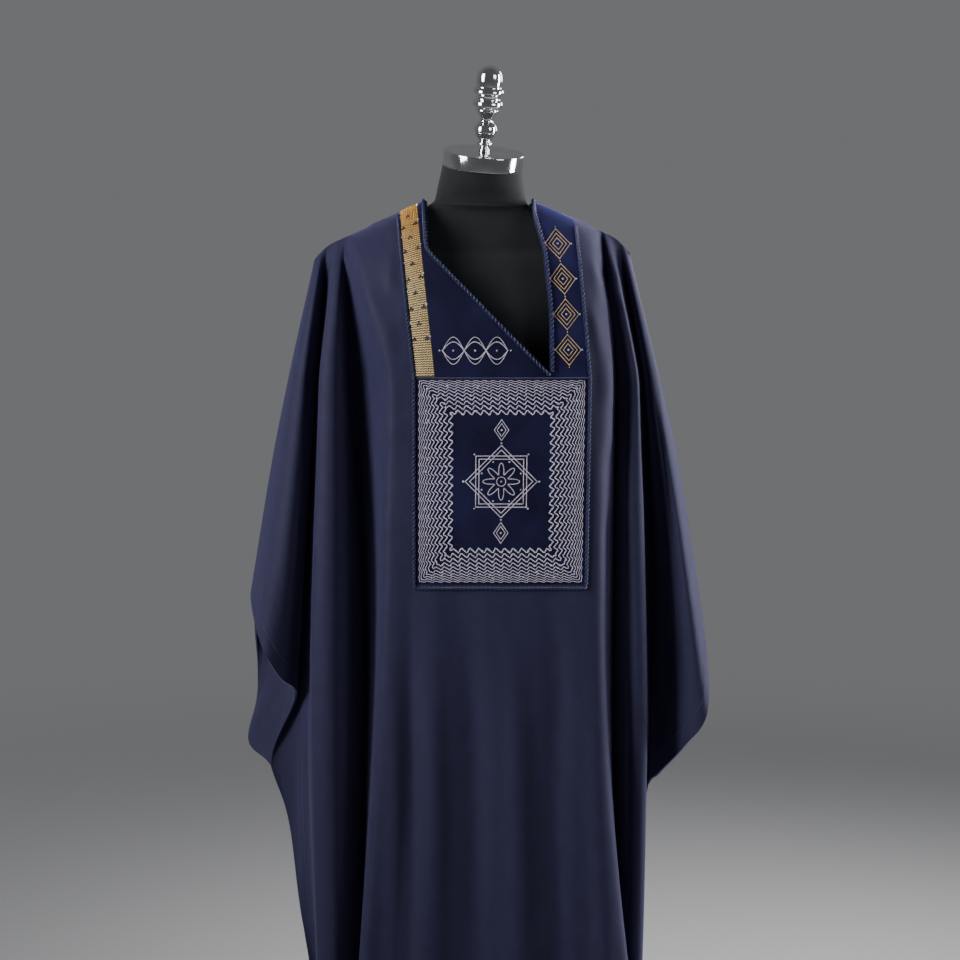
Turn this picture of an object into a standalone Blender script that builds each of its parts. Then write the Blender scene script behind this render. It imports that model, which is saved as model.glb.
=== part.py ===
"""Grand boubou robe (agbada) of navy suiting, worn on a limbless dress form.

Metres, +Z up, front towards -Y, origin on the floor under the stand's pole. "Right" and "left" are the
wearer's, so right is at -X. The robe's cloth is one front sheet and one back sheet, each hung from lines that
run down the cloth from the shoulder. The shoulder fold, the sleeves' top folds and the side seams all lie in
the plane y = 0, where front and back meet; body and sleeves meet in the deep folds beside the body panel.
"""

import math

import bmesh
import bpy
import numpy as np

CLOTH = 0.0020  # thickness of the suiting, with its turned edges
HEM_EXTRA = 0.0014  # what the turned hem adds on the inside
HEM_DEPTH = 0.035  # height of the turned hem
VELVET = 0.0012  # thickness of the applied velvet pieces
GAP = 0.0003  # between pieces that touch
CORD_R = 0.0026  # radius of the twisted trim cords
CORD_SIDES = 6
CLEARANCE = 0.0045  # least distance from the form to the middle of the cloth beside it

NECK_POINT = (0.079, 1.535)  # where the shoulder fold meets the neck opening
SHOULDER_FALL = 0.447  # the fold's fall per metre outwards
TIP_X = (0.216, 0.192)  # right and left shoulder tips; past them the fold rounds down over the form
TIP_FALL = 14.0
LONGEST_STEP = 2.2  # how much further than half its thickness a wall's face may lie off its middle at a bend
CHEST_Z = 1.276  # where the cloth has rounded the shoulder and hangs down; the chest panel's top edge
HEM_Z = 0.120  # bottom hem above the floor
PANEL_Z = 0.979  # the chest panel's bottom edge
SHOULDER_ROWS = 6  # rows of cells from the shoulder fold to the chest
PANEL_ROWS = 4  # rows from the chest to the chest panel's bottom edge
LOWER_ROWS = 7  # rows from there to the turned hem

# The dress form from hip to neck: each row is one level section, an oval of these half sizes about its centre.
# (height, half_width, half_depth, centre_x, centre_y, forward_tilt in degrees)
FORM_SECTIONS = (
    (0.800, 0.150, 0.105, 0.000, 0.000, 0),
    (0.830, 0.162, 0.114, 0.000, 0.000, 0),
    (0.890, 0.164, 0.116, 0.000, 0.000, 0),
    (0.970, 0.154, 0.110, 0.000, 0.000, 0),
    (1.060, 0.144, 0.104, 0.000, 0.000, 0),
    (1.150, 0.150, 0.109, -0.002, 0.000, 0),
    (1.240, 0.160, 0.116, -0.004, 0.000, 0),
    (1.310, 0.172, 0.112, -0.006, 0.000, 0),
    (1.370, 0.186, 0.100, -0.008, 0.000, 0),
    (1.415, 0.192, 0.078, -0.012, 0.000, 0),
    (1.445, 0.194, 0.060, -0.013, 0.000, 0),
    (1.464, 0.187, 0.046, -0.011, 0.000, 0),
    (1.480, 0.178, 0.042, -0.005, 0.000, 0),
    (1.496, 0.1555, 0.038, 0.000, 0.000, 0),
    (1.511, 0.1215, 0.034, 0.000, 0.000, 0),
    (1.521, 0.0965, 0.031, 0.000, -0.001, 1),
    (1.527, 0.0770, 0.033, 0.001, -0.002, 3),
    (1.534, 0.0680, 0.042, 0.001, -0.006, 6),
    (1.550, 0.0650, 0.053, 0.002, -0.013, 10),
    (1.568, 0.0615, 0.0580, 0.003, -0.019, 12),
    (1.584, 0.0590, 0.0570, 0.004, -0.023, 13),
)
FORM_ROUNDNESS = 2.25  # exponent of the ovals; 2 is an ellipse
FORM_SIDES = 36
NECK_LEAN = 4.5  # degrees that the neck cap and its finial lean to the wearer's left

# Lines that run down the cloth, from the right sleeve's top fold round the front to the left sleeve's.
# Each starts on the shoulder fold at x_top, passes (x_chest, y_chest) at CHEST_Z and (x_mid, y_mid) at z_mid,
# and ends at (x_end, y_end, z_end) on the sleeve's edge, the side seam or the bottom hem. columns is how many
# columns of the wall lie between it and the next line. round_over is 1 where the cloth lies over the shoulder,
# and more where it falls straight from the shoulder's tip.
# (name, columns, round_over, x_top, x_chest, y_chest, x_mid, y_mid, z_mid, x_end, y_end, z_end)
FRONT_LINES = (
    ("right_top_fold", 2, 2.0, -0.2460, -0.2850, 0.000, -0.3090, 0.000, 1.16, -0.3450, 0.000, 0.949),
    ("right_outer_ridge", 2, 2.0, -0.2415, -0.2770, -0.062, -0.3190, -0.112, 0.98, -0.3260, -0.125, 0.880),
    ("right_outer_ridge_in", 2, 2.0, -0.2370, -0.2620, -0.070, -0.2950, -0.118, 0.95, -0.3020, -0.115, 0.838),
    ("right_cuff_valley", 2, 2.0, -0.2330, -0.2480, -0.040, -0.2660, -0.050, 0.94, -0.2740, -0.052, 0.800),
    ("right_cuff_end", 2, 2.0, -0.2290, -0.2430, -0.018, -0.2830, -0.014, 0.82, -0.3180, 0.000, 0.682),
    ("right_side_high", 2, 2.0, -0.2250, -0.2400, -0.022, -0.2720, -0.024, 0.80, -0.2930, 0.000, 0.606),
    ("right_side_low", 2, 2.0, -0.2205, -0.2370, -0.030, -0.2620, -0.044, 0.74, -0.2740, 0.000, 0.460),
    ("right_side_hem", 2, 2.0, -0.2160, -0.2350, -0.056, -0.2510, -0.090, 0.70, -0.2250, 0.000, 0.135),
    ("right_inner_ridge_out", 2, 2.0, -0.2115, -0.2320, -0.092, -0.2430, -0.136, 0.80, -0.2350, -0.090, 0.128),
    ("right_inner_ridge", 2, 2.0, -0.2060, -0.2140, -0.098, -0.2130, -0.144, 0.80, -0.2130, -0.105, 0.124),
    ("right_seam", 2, 1.2, -0.2000, -0.1900, -0.046, -0.1710, -0.022, 0.90, -0.1860, -0.020, 0.120),
    ("right_panel_edge_side", 1, 1.1, -0.1900, -0.1340, -0.118, -0.1440, -0.140, 0.90, -0.1990, -0.156, 0.120),
    ("right_panel_edge", 2, 1.1, -0.1840, -0.1270, -0.126, -0.1370, -0.151, 0.90, -0.1910, -0.170, 0.120),
    ("bib_right", 1, 1.0, -0.1240, -0.0985, -0.132, -0.0985, -0.149, 0.97, -0.1480, -0.161, 0.120),
    ("band_right", 1, 1.0, -0.1180, -0.0915, -0.133, -0.0915, -0.150, 0.97, -0.1370, -0.165, 0.120),
    ("band_left", 2, 1.0, -0.0920, -0.0640, -0.136, -0.0640, -0.153, 0.97, -0.1000, -0.182, 0.120),
    ("flute_valley", 2, 1.0, -0.0450, -0.0100, -0.138, -0.0120, -0.151, 0.97, -0.0250, -0.160, 0.120),
    ("flute_ridge", 2, 1.0, 0.0100, 0.0450, -0.138, 0.0450, -0.154, 0.97, 0.0550, -0.182, 0.120),
    ("opening_left", 2, 1.0, 0.0730, 0.1005, -0.136, 0.1000, -0.151, 0.97, 0.1280, -0.162, 0.120),
    ("bib_left_in", 1, 1.0, 0.1370, 0.1550, -0.130, 0.1500, -0.153, 0.97, 0.1870, -0.179, 0.120),
    ("bib_left", 1, 1.0, 0.1435, 0.1615, -0.128, 0.1560, -0.153, 0.97, 0.1960, -0.180, 0.120),
    ("left_panel_edge", 1, 1.1, 0.1600, 0.1750, -0.121, 0.1740, -0.151, 0.94, 0.2430, -0.170, 0.120),
    ("left_panel_side", 2, 1.3, 0.1710, 0.1860, -0.104, 0.1840, -0.124, 0.90, 0.2430, -0.128, 0.120),
    ("left_seam", 2, 1.8, 0.1810, 0.2020, -0.044, 0.2000, -0.026, 0.80, 0.2080, -0.014, 0.120),
    ("left_inner_ridge_in", 1, 1.8, 0.1855, 0.2170, -0.090, 0.2230, -0.120, 0.80, 0.2290, -0.048, 0.124),
    ("left_inner_ridge", 2, 2.0, 0.1895, 0.2290, -0.096, 0.2390, -0.126, 0.80, 0.2360, -0.040, 0.128),
    ("left_side_hem", 2, 2.0, 0.1935, 0.2330, -0.062, 0.2440, -0.078, 0.70, 0.2250, 0.000, 0.135),
    ("left_side_low", 2, 2.0, 0.1975, 0.2360, -0.038, 0.2460, -0.046, 0.76, 0.2300, 0.000, 0.480),
    ("left_side_high", 2, 2.0, 0.2015, 0.2390, -0.030, 0.2510, -0.036, 0.80, 0.2430, 0.000, 0.560),
    ("left_cuff_end", 2, 2.0, 0.2055, 0.2420, -0.028, 0.2580, -0.034, 0.84, 0.2560, 0.000, 0.652),
    ("left_cuff_valley", 2, 2.0, 0.2095, 0.2450, -0.036, 0.2650, -0.050, 0.90, 0.2660, -0.054, 0.680),
    ("left_outer_ridge_in", 2, 2.0, 0.2135, 0.2500, -0.066, 0.2860, -0.104, 0.92, 0.3010, -0.108, 0.733),
    ("left_outer_ridge", 2, 2.0, 0.2175, 0.2600, -0.060, 0.3060, -0.114, 0.95, 0.3310, -0.122, 0.779),
    ("left_top_fold", 1, 2.0, 0.2225, 0.2660, 0.000, 0.2920, 0.000, 1.17, 0.3280, 0.000, 0.951),
)
BACK_LINES = (
    ("right_top_fold", 2, 2.0, -0.2460, -0.2850, 0.000, -0.3090, 0.000, 1.16, -0.3450, 0.000, 0.949),
    ("right_outer_ridge", 2, 2.0, -0.2415, -0.2740, 0.060, -0.3180, 0.106, 0.98, -0.3500, 0.108, 0.860),
    ("right_outer_ridge_in", 2, 2.0, -0.2370, -0.2600, 0.068, -0.2980, 0.114, 0.92, -0.3470, 0.108, 0.770),
    ("right_cuff_corner", 2, 2.0, -0.2330, -0.2480, 0.042, -0.2860, 0.070, 0.86, -0.3550, 0.050, 0.708),
    ("right_cuff_end", 2, 2.0, -0.2290, -0.2430, 0.022, -0.2780, 0.022, 0.84, -0.3180, 0.000, 0.682),
    ("right_side_high", 2, 2.0, -0.2250, -0.2400, 0.026, -0.2700, 0.028, 0.82, -0.2930, 0.000, 0.606),
    ("right_side_low", 2, 2.0, -0.2205, -0.2370, 0.034, -0.2620, 0.052, 0.74, -0.2740, 0.000, 0.460),
    ("right_side_hem", 2, 2.0, -0.2160, -0.2350, 0.058, -0.2510, 0.090, 0.70, -0.2250, 0.000, 0.135),
    ("right_inner_ridge_out", 1, 2.0, -0.2115, -0.2310, 0.094, -0.2400, 0.136, 0.80, -0.2330, 0.088, 0.128),
    ("right_inner_ridge", 2, 2.0, -0.2060, -0.2190, 0.102, -0.2240, 0.144, 0.80, -0.2220, 0.098, 0.124),
    ("right_seam", 2, 1.2, -0.2000, -0.1920, 0.052, -0.1800, 0.036, 0.84, -0.1900, 0.022, 0.120),
    ("right_panel_edge_side", 1, 1.1, -0.1900, -0.1500, 0.112, -0.1560, 0.138, 0.84, -0.1980, 0.150, 0.120),
    ("right_panel_edge", 2, 1.1, -0.1840, -0.1440, 0.124, -0.1480, 0.150, 0.84, -0.1900, 0.166, 0.120),
    ("flute_a", 2, 1.0, -0.1400, -0.1020, 0.133, -0.1080, 0.146, 0.84, -0.1400, 0.152, 0.120),
    ("flute_b", 2, 1.0, -0.0800, -0.0560, 0.136, -0.0600, 0.158, 0.84, -0.0800, 0.182, 0.120),
    ("flute_c", 2, 1.0, -0.0200, -0.0050, 0.136, -0.0060, 0.145, 0.84, -0.0100, 0.150, 0.120),
    ("flute_d", 2, 1.0, 0.0500, 0.0460, 0.136, 0.0520, 0.158, 0.84, 0.0660, 0.184, 0.120),
    ("flute_e", 2, 1.0, 0.1150, 0.0980, 0.132, 0.1050, 0.147, 0.84, 0.1320, 0.154, 0.120),
    ("left_panel_edge", 1, 1.1, 0.1600, 0.1420, 0.123, 0.1500, 0.151, 0.84, 0.1950, 0.168, 0.120),
    ("left_panel_edge_side", 2, 1.1, 0.1700, 0.1490, 0.112, 0.1580, 0.138, 0.84, 0.2030, 0.152, 0.120),
    ("left_seam", 2, 1.8, 0.1810, 0.1900, 0.050, 0.1840, 0.036, 0.82, 0.1980, 0.022, 0.120),
    ("left_inner_ridge", 1, 1.8, 0.1855, 0.2180, 0.100, 0.2240, 0.136, 0.80, 0.2220, 0.088, 0.124),
    ("left_inner_ridge_out", 2, 2.0, 0.1895, 0.2290, 0.094, 0.2390, 0.126, 0.80, 0.2330, 0.076, 0.128),
    ("left_side_hem", 2, 2.0, 0.1935, 0.2330, 0.060, 0.2440, 0.080, 0.70, 0.2250, 0.000, 0.135),
    ("left_side_low", 2, 2.0, 0.1975, 0.2360, 0.038, 0.2460, 0.050, 0.76, 0.2300, 0.000, 0.480),
    ("left_side_high", 2, 2.0, 0.2015, 0.2390, 0.030, 0.2510, 0.036, 0.80, 0.2430, 0.000, 0.560),
    ("left_cuff_end", 2, 2.0, 0.2055, 0.2420, 0.028, 0.2580, 0.034, 0.84, 0.2560, 0.000, 0.652),
    ("left_cuff_valley", 2, 2.0, 0.2095, 0.2450, 0.036, 0.2660, 0.050, 0.90, 0.2720, 0.052, 0.680),
    ("left_outer_ridge_in", 2, 2.0, 0.2135, 0.2520, 0.068, 0.2860, 0.104, 0.92, 0.2980, 0.106, 0.722),
    ("left_outer_ridge", 2, 2.0, 0.2175, 0.2620, 0.060, 0.3060, 0.112, 0.95, 0.3270, 0.124, 0.768),
    ("left_top_fold", 1, 2.0, 0.2225, 0.2660, 0.000, 0.2920, 0.000, 1.17, 0.3280, 0.000, 0.951),
)
# The neck opening's outline seen from the front, as (x, z) points down one side and up the other.
NECK_FRONT = (
    (-0.0790, 1.580), (-0.0790, 1.530), (-0.0746, 1.461), (0.1005, 1.286),
    (0.0995, 1.370), (0.0905, 1.462), (0.0790, 1.505), (0.0748, 1.530), (0.0748, 1.580),
)
NECK_BACK = (
    (-0.0790, 1.580), (-0.0790, 1.528), (-0.0560, 1.506), (-0.0200, 1.496),
    (0.0200, 1.496), (0.0520, 1.506), (0.0740, 1.528), (0.0740, 1.580),
)

# The trim cords' routes seen from the front, as (x, z) points. on_velvet says what a cord lies on.
# (name, on_velvet, points)
CORD_ROUTES = (
    ("cord_border_right", False, ((-0.1198, 1.510), (-0.0950, 1.274), (-0.0950, 0.9735), (0.0250, 0.9735))),
    ("cord_border_left", False, ((0.1400, 1.494), (0.1580, 1.274), (0.1528, 0.9735), (0.0256, 0.9735))),
    ("cord_middle", True, ((-0.0910, 1.2756), (0.1540, 1.2756))),
    ("cord_neck_right", True, ((-0.0826, 1.520), (-0.0782, 1.462), (0.0860, 1.2935))),
    ("cord_neck_left", True, ((0.0834, 1.500), (0.0942, 1.462), (0.1030, 1.370), (0.1036, 1.2860))),
)
CORD_STEP = 0.014  # longest straight stretch of a cord

STAND_POLE_R = 0.0160
STAND_BASE_R = 0.1900
STAND_BASE_THICK = 0.014
CAP_R = 0.0600
CAP_HEIGHT = 0.0225
# Turned profile of the finial above the cap, as (radius, height) from its foot.
FINIAL_PROFILE = (
    (0.0085, 0.000), (0.0095, 0.004), (0.0060, 0.008), (0.0058, 0.011), (0.0105, 0.016), (0.0128, 0.022),
    (0.0125, 0.028), (0.0090, 0.034), (0.0078, 0.038), (0.0082, 0.043), (0.0100, 0.045), (0.0135, 0.048),
    (0.0150, 0.053), (0.0150, 0.056), (0.0185, 0.060), (0.0192, 0.065), (0.0180, 0.070), (0.0150, 0.074),
    (0.0150, 0.077), (0.0205, 0.080), (0.0205, 0.083), (0.0168, 0.086), (0.0168, 0.094), (0.0160, 0.104),
    (0.0128, 0.115), (0.0080, 0.122), (0.0000, 0.126),
)

# Colour, roughness and metallic value of each material.
MATERIALS = {
    "suiting": ((0.020, 0.022, 0.060), 0.62, 0.0),
    "velvet": ((0.010, 0.012, 0.060), 0.80, 0.0),
    "gold_braid": ((0.80, 0.58, 0.18), 0.35, 0.6),
    "cord": ((0.018, 0.022, 0.095), 0.55, 0.0),
    "jersey": ((0.010, 0.011, 0.012), 0.85, 0.0),
    "chrome": ((0.85, 0.86, 0.88), 0.10, 1.0),
}


def clear_scene():
    for obj in list(bpy.data.objects):
        bpy.data.objects.remove(obj, do_unlink=True)


def material(name):
    found = bpy.data.materials.get(name)
    if found:
        return found
    colour, roughness, metallic = MATERIALS[name]
    made = bpy.data.materials.new(name)
    made.use_nodes = True
    shader = made.node_tree.nodes["Principled BSDF"]
    shader.inputs["Base Color"].default_value = (*colour, 1)
    shader.inputs["Roughness"].default_value = roughness
    shader.inputs["Metallic"].default_value = metallic
    made.diffuse_color = (*colour, 1)
    return made


def add_object(name, points, faces, material_name, smooth=True):
    """An object whose mesh holds these points and faces, with its normals pointing out."""
    mesh = bpy.data.meshes.new(name)
    mesh.from_pydata([tuple(p) for p in points], [], [tuple(f) for f in faces])
    shape = bmesh.new()
    shape.from_mesh(mesh)
    bmesh.ops.recalc_face_normals(shape, faces=shape.faces)
    if shape.calc_volume(signed=True) < 0:
        bmesh.ops.reverse_faces(shape, faces=shape.faces)
    shape.to_mesh(mesh)
    shape.free()
    mesh.materials.append(material(material_name))
    if smooth:
        mesh.shade_smooth()
        mesh.set_sharp_from_angle(angle=math.radians(50))
    obj = bpy.data.objects.new(name, mesh)
    bpy.context.scene.collection.objects.link(obj)
    return obj


# ---- smooth curves -------------------------------------------------------------------------------------


def through(keys, values, at):
    """Values at new keys, on a smooth curve through the given ones that doesn't overshoot them."""
    keys, values = np.asarray(keys, float), np.asarray(values, float)
    if keys[0] > keys[-1]:
        keys, values = keys[::-1], values[::-1]
    slope = np.diff(values) / np.diff(keys)
    tangent = np.zeros(len(keys))
    for i in range(1, len(keys) - 1):
        if slope[i - 1] * slope[i] > 0:
            tangent[i] = 2 * slope[i - 1] * slope[i] / (slope[i - 1] + slope[i])
    tangent[0], tangent[-1] = slope[0], slope[-1]
    at = np.clip(np.asarray(at, float), keys[0], keys[-1])
    i = np.clip(np.searchsorted(keys, at, side="right") - 1, 0, len(keys) - 2)
    width = keys[i + 1] - keys[i]
    t = (at - keys[i]) / width
    return (
        values[i] * (2 * t**3 - 3 * t**2 + 1)
        + tangent[i] * width * (t**3 - 2 * t**2 + t)
        + values[i + 1] * (3 * t**2 - 2 * t**3)
        + tangent[i + 1] * width * (t**3 - t**2)
    )


def across(points, steps):
    """A rounded curve through a row of points, with its own number of steps from each to the next."""
    points = np.asarray(points, float)
    ends = np.vstack([2 * points[0] - points[1], points, 2 * points[-1] - points[-2]])
    gaps = np.sqrt(np.maximum(np.linalg.norm(np.diff(ends, axis=0), axis=1), 1e-5))
    made = []
    for i in range(len(points) - 1):
        p0, p1, p2, p3 = ends[i : i + 4]
        d1, d2, d3 = gaps[i : i + 3]
        m1 = d2 * ((p1 - p0) / d1 - (p2 - p0) / (d1 + d2) + (p2 - p1) / d2)
        m2 = d2 * ((p2 - p1) / d2 - (p3 - p1) / (d2 + d3) + (p3 - p2) / d3)
        for k in range(steps[i]):
            t = k / steps[i]
            made.append(
                (2 * t**3 - 3 * t**2 + 1) * p1
                + (t**3 - 2 * t**2 + t) * m1
                + (3 * t**2 - 2 * t**3) * p2
                + (t**3 - t**2) * m2
            )
    made.append(points[-1])
    return np.array(made)


# ---- dress form ----------------------------------------------------------------------------------------

FORM_TABLE = np.array(FORM_SECTIONS)


def form_level(z):
    """Half width, half depth and centre of the form's oval at each height z."""
    return [through(FORM_TABLE[:, 0], FORM_TABLE[:, k], z) for k in (1, 2, 3, 4)]


def form_reach(points):
    """0 on the form's surface, below 0 inside and above 0 outside, in shares of its size there."""
    half_width, half_depth, cx, cy = form_level(points[..., 2])
    f = np.abs((points[..., 0] - cx) / half_width) ** FORM_ROUNDNESS
    f += np.abs((points[..., 1] - cy) / half_depth) ** FORM_ROUNDNESS
    return f ** (1 / FORM_ROUNDNESS) - 1


def clear_of_form(points):
    """The points clear of the neck, each moved straight off the form until it is CLEARANCE away from it."""
    points = np.array(points, float)
    beside = (points[..., 2] > FORM_TABLE[0, 0] + 0.01) & (points[..., 2] < 1.54)
    beside &= (points[..., 2] < 1.46) | (np.abs(points[..., 0]) > 1.5 * NECK_POINT[0])
    step = 1e-4
    for _ in range(5):
        reach = form_reach(points)
        slope = np.stack([(form_reach(points + step * axis) - reach) / step for axis in np.eye(3)], axis=-1)
        steep = np.maximum(np.linalg.norm(slope, axis=-1), 1e-6)
        short = np.clip(CLEARANCE - reach / steep, 0, 0.01) * beside * (reach < 0.5)
        points += slope / steep[..., None] * short[..., None]
    return points


def form_ring(z, sides, tilt):
    """Points round the form at height z, in a plane that tilts forward about its middle."""
    half_width, half_depth, cx, cy = (float(value) for value in form_level(z))
    ring = []
    for k in range(sides):
        a = 2 * math.pi * k / sides
        c, s = math.cos(a), math.sin(a)
        x = half_width * math.copysign(abs(c) ** (2 / FORM_ROUNDNESS), c)
        y = half_depth * math.copysign(abs(s) ** (2 / FORM_ROUNDNESS), s)
        lean = math.radians(NECK_LEAN) * tilt / FORM_TABLE[-1, 5]
        ring.append(
            (cx + x, cy + y * math.cos(math.radians(tilt)),
             z + y * math.sin(math.radians(tilt)) - x * math.sin(lean))
        )
    return ring


def ring_solid(rings):
    """Points and faces of the closed solid through these rings, with a fan at each end."""
    sides = len(rings[0])
    points = [p for ring in rings for p in ring]
    faces = []
    for i in range(len(rings) - 1):
        for k in range(sides):
            a, b = i * sides + k, i * sides + (k + 1) % sides
            faces.append((a, b, b + sides, a + sides))
    for first, ring in ((0, rings[0]), (len(points) - sides, rings[-1])):
        middle = len(points)
        points = [*points, np.mean(np.array(ring), axis=0)]
        faces += [(first + k, first + (k + 1) % sides, middle) for k in range(sides)]
    return points, faces


def build_form():
    rings = []
    for row in FORM_SECTIONS:
        rings.append(form_ring(row[0], FORM_SIDES, row[5]))
    points, faces = ring_solid(rings)
    add_object("form_torso", points, faces, "jersey")


def turned(name, profile, place, material_name, sides=24, frame=None):
    """A solid turned about its own axis from (radius, height) points, set at place and turned by frame."""
    frame = np.eye(3) if frame is None else frame
    points, faces, rings = [], [], []
    for radius, height in profile:
        if radius <= 0:
            rings.append([len(points)])
            points.append(frame @ np.array([0, 0, height]) + place)
            continue
        rings.append(list(range(len(points), len(points) + sides)))
        for k in range(sides):
            a = 2 * math.pi * k / sides
            spot = np.array([radius * math.cos(a), radius * math.sin(a), height])
            points.append(frame @ spot + place)
    for low, high in zip(rings, rings[1:]):
        for k in range(sides):
            a, b = low[k % len(low)], low[(k + 1) % len(low)]
            c, d = high[(k + 1) % len(high)], high[k % len(high)]
            corners = list(dict.fromkeys((a, b, c, d)))
            faces.append(corners)
    for ring in (rings[0], rings[-1]):
        if len(ring) > 1:
            faces.append(ring)
    return add_object(name, points, faces, material_name)


def neck_frame():
    """Turns +Z onto the neck's own axis, which leans forward and to the wearer's left."""
    tilt, lean = math.radians(FORM_TABLE[-1, 5]), math.radians(NECK_LEAN)
    forward = np.array(
        [[1, 0, 0], [0, math.cos(tilt), -math.sin(tilt)], [0, math.sin(tilt), math.cos(tilt)]]
    )
    sideways = np.array(
        [[math.cos(lean), 0, math.sin(lean)], [0, 1, 0], [-math.sin(lean), 0, math.cos(lean)]]
    )
    return sideways @ forward


def build_neck_cap():
    frame = neck_frame()
    z, _, _, cx, cy, _ = FORM_SECTIONS[-1]
    seat = np.array([cx, cy, z]) + frame @ np.array([0, 0, GAP])
    bevel = 0.0018
    profile = (
        (CAP_R - bevel, 0.0), (CAP_R, bevel), (CAP_R, CAP_HEIGHT - bevel), (CAP_R - bevel, CAP_HEIGHT),
    )
    turned("neck_cap", profile, seat, "chrome", 32, frame)
    foot = seat + frame @ np.array([0, 0, CAP_HEIGHT + GAP])
    turned("finial", FINIAL_PROFILE, foot, "chrome", 14, frame)


def build_stand():
    plate = (
        (STAND_BASE_R - 0.002, 0.0), (STAND_BASE_R, 0.002), (STAND_BASE_R, STAND_BASE_THICK - 0.003),
        (STAND_BASE_R - 0.004, STAND_BASE_THICK),
    )
    turned("stand_base", plate, np.zeros(3), "chrome", 48)
    collar_height = 0.050
    collar = ((0.034, 0.0), (0.034, 0.006), (0.024, 0.014), (0.022, collar_height - 0.002), (0.020, collar_height))
    turned("stand_collar", collar, np.array([0, 0, STAND_BASE_THICK + GAP]), "chrome", 28)
    pole_foot = STAND_BASE_THICK + collar_height + 2 * GAP
    pole_top = FORM_SECTIONS[0][0] - GAP
    pole = ((STAND_POLE_R, 0.0), (STAND_POLE_R, pole_top - pole_foot - 0.014),
            (0.042, pole_top - pole_foot - 0.010), (0.042, pole_top - pole_foot))
    turned("stand_pole", pole, np.array([0, 0, pole_foot]), "chrome", 28)


# ---- the cloth ------------------------------------------------------------------------------------------


class Line:
    """One line down the cloth, from the shoulder fold to the cloth's edge."""

    def __init__(self, name, columns, round_over, x_top, x_chest, y_chest, x_mid, y_mid, z_mid, x_end, y_end, z_end):
        self.name = name
        self.columns = columns
        self.round_over = round_over
        self.x_top = x_top
        self.z_top = self.fold_height(x_top)
        self.levels = (CHEST_Z, z_mid, z_end)
        self.xs = (x_chest, x_mid, x_end)
        self.ys = (y_chest, y_mid, y_end)

    @staticmethod
    def fold_height(x):
        """The shoulder fold falls evenly from the neck point, and past the tip it rounds down."""
        outward = max(abs(x) - NECK_POINT[0], 0)
        past = max(abs(x) - TIP_X[x > 0], 0)
        return NECK_POINT[1] - SHOULDER_FALL * outward - TIP_FALL * past**2

    def at(self, v):
        """The line's point at v: 0 on the shoulder fold, 1 at the chest, 2 at the cloth's edge."""
        if v <= 1:
            angle = v * math.pi / 2
            fall = 1 - math.cos(angle)
            return np.array(
                [
                    self.x_top + (self.xs[0] - self.x_top) * fall,
                    self.ys[0] * math.sin(angle) ** self.round_over,
                    self.z_top - (self.z_top - CHEST_Z) * fall,
                ]
            )
        z = CHEST_Z + (self.levels[2] - CHEST_Z) * (v - 1)
        return np.array(
            [float(through(self.levels, self.xs, z)), float(through(self.levels, self.ys, z)), z]
        )


def row_values():
    """The v of each row, with one at the chest panel's top and bottom edges and a short last one for the hem."""
    panel = 1 + (CHEST_Z - PANEL_Z) / (CHEST_Z - HEM_Z)
    hem = 2 - HEM_DEPTH / (CHEST_Z - HEM_Z)
    rows = [*np.linspace(0, 1, SHOULDER_ROWS + 1) ** 1.2, *np.linspace(1, panel, PANEL_ROWS + 1)[1:]]
    return [*rows, *np.linspace(panel, hem, LOWER_ROWS + 1)[1:], 2.0]


def sheet_points(lines, side):
    """The middle of the cloth as rows of points. side is -1 for the front and 1 for the back."""
    grid = []
    for v in row_values():
        row = clear_of_form(across([line.at(v) for line in lines], [line.columns for line in lines]))
        row[:, 1] = side * np.maximum(side * row[:, 1], 0)
        grid.append(row)
    return np.array(grid)


def sheet_offsets(grid, side):
    """Outward steps that move the wall's faces 1 m apart from its middle, longer where the cloth bends sharply.

    At the plane y = 0 the cloth runs on into its mirror image, so it crosses it squarely.
    """
    mirror = np.array([1, -1, 1])
    around = np.pad(grid, ((1, 1), (1, 1), (0, 0)), mode="edge")
    around[0, 1:-1] = grid[1] * mirror
    seamed = (np.abs(grid[-1, :, 1:2]) < 1e-6) & (np.abs(grid[-2, :, 1:2]) > 1e-6)
    around[-1, 1:-1] = np.where(seamed, grid[-2] * mirror, 2 * grid[-1] - grid[-2])
    around[1:-1, 0] = grid[:, 1] * mirror
    around[1:-1, -1] = grid[:, -2] * mirror
    across_cell = around[1:, 1:] - around[:-1, :-1]
    other_cell = around[1:, :-1] - around[:-1, 1:]
    cell = np.cross(across_cell, other_cell) * side
    cell /= np.maximum(np.linalg.norm(cell, axis=2, keepdims=True), 1e-12)
    beside = np.stack([cell[:-1, :-1], cell[:-1, 1:], cell[1:, :-1], cell[1:, 1:]])
    normal = beside.sum(axis=0)
    normal /= np.maximum(np.linalg.norm(normal, axis=2, keepdims=True), 1e-9)
    sharp = (beside * normal).sum(axis=-1).clip(0, 1).mean(axis=0)
    return normal / sharp.clip(LONGEST_STEP**-1, 1)[..., None]


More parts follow.
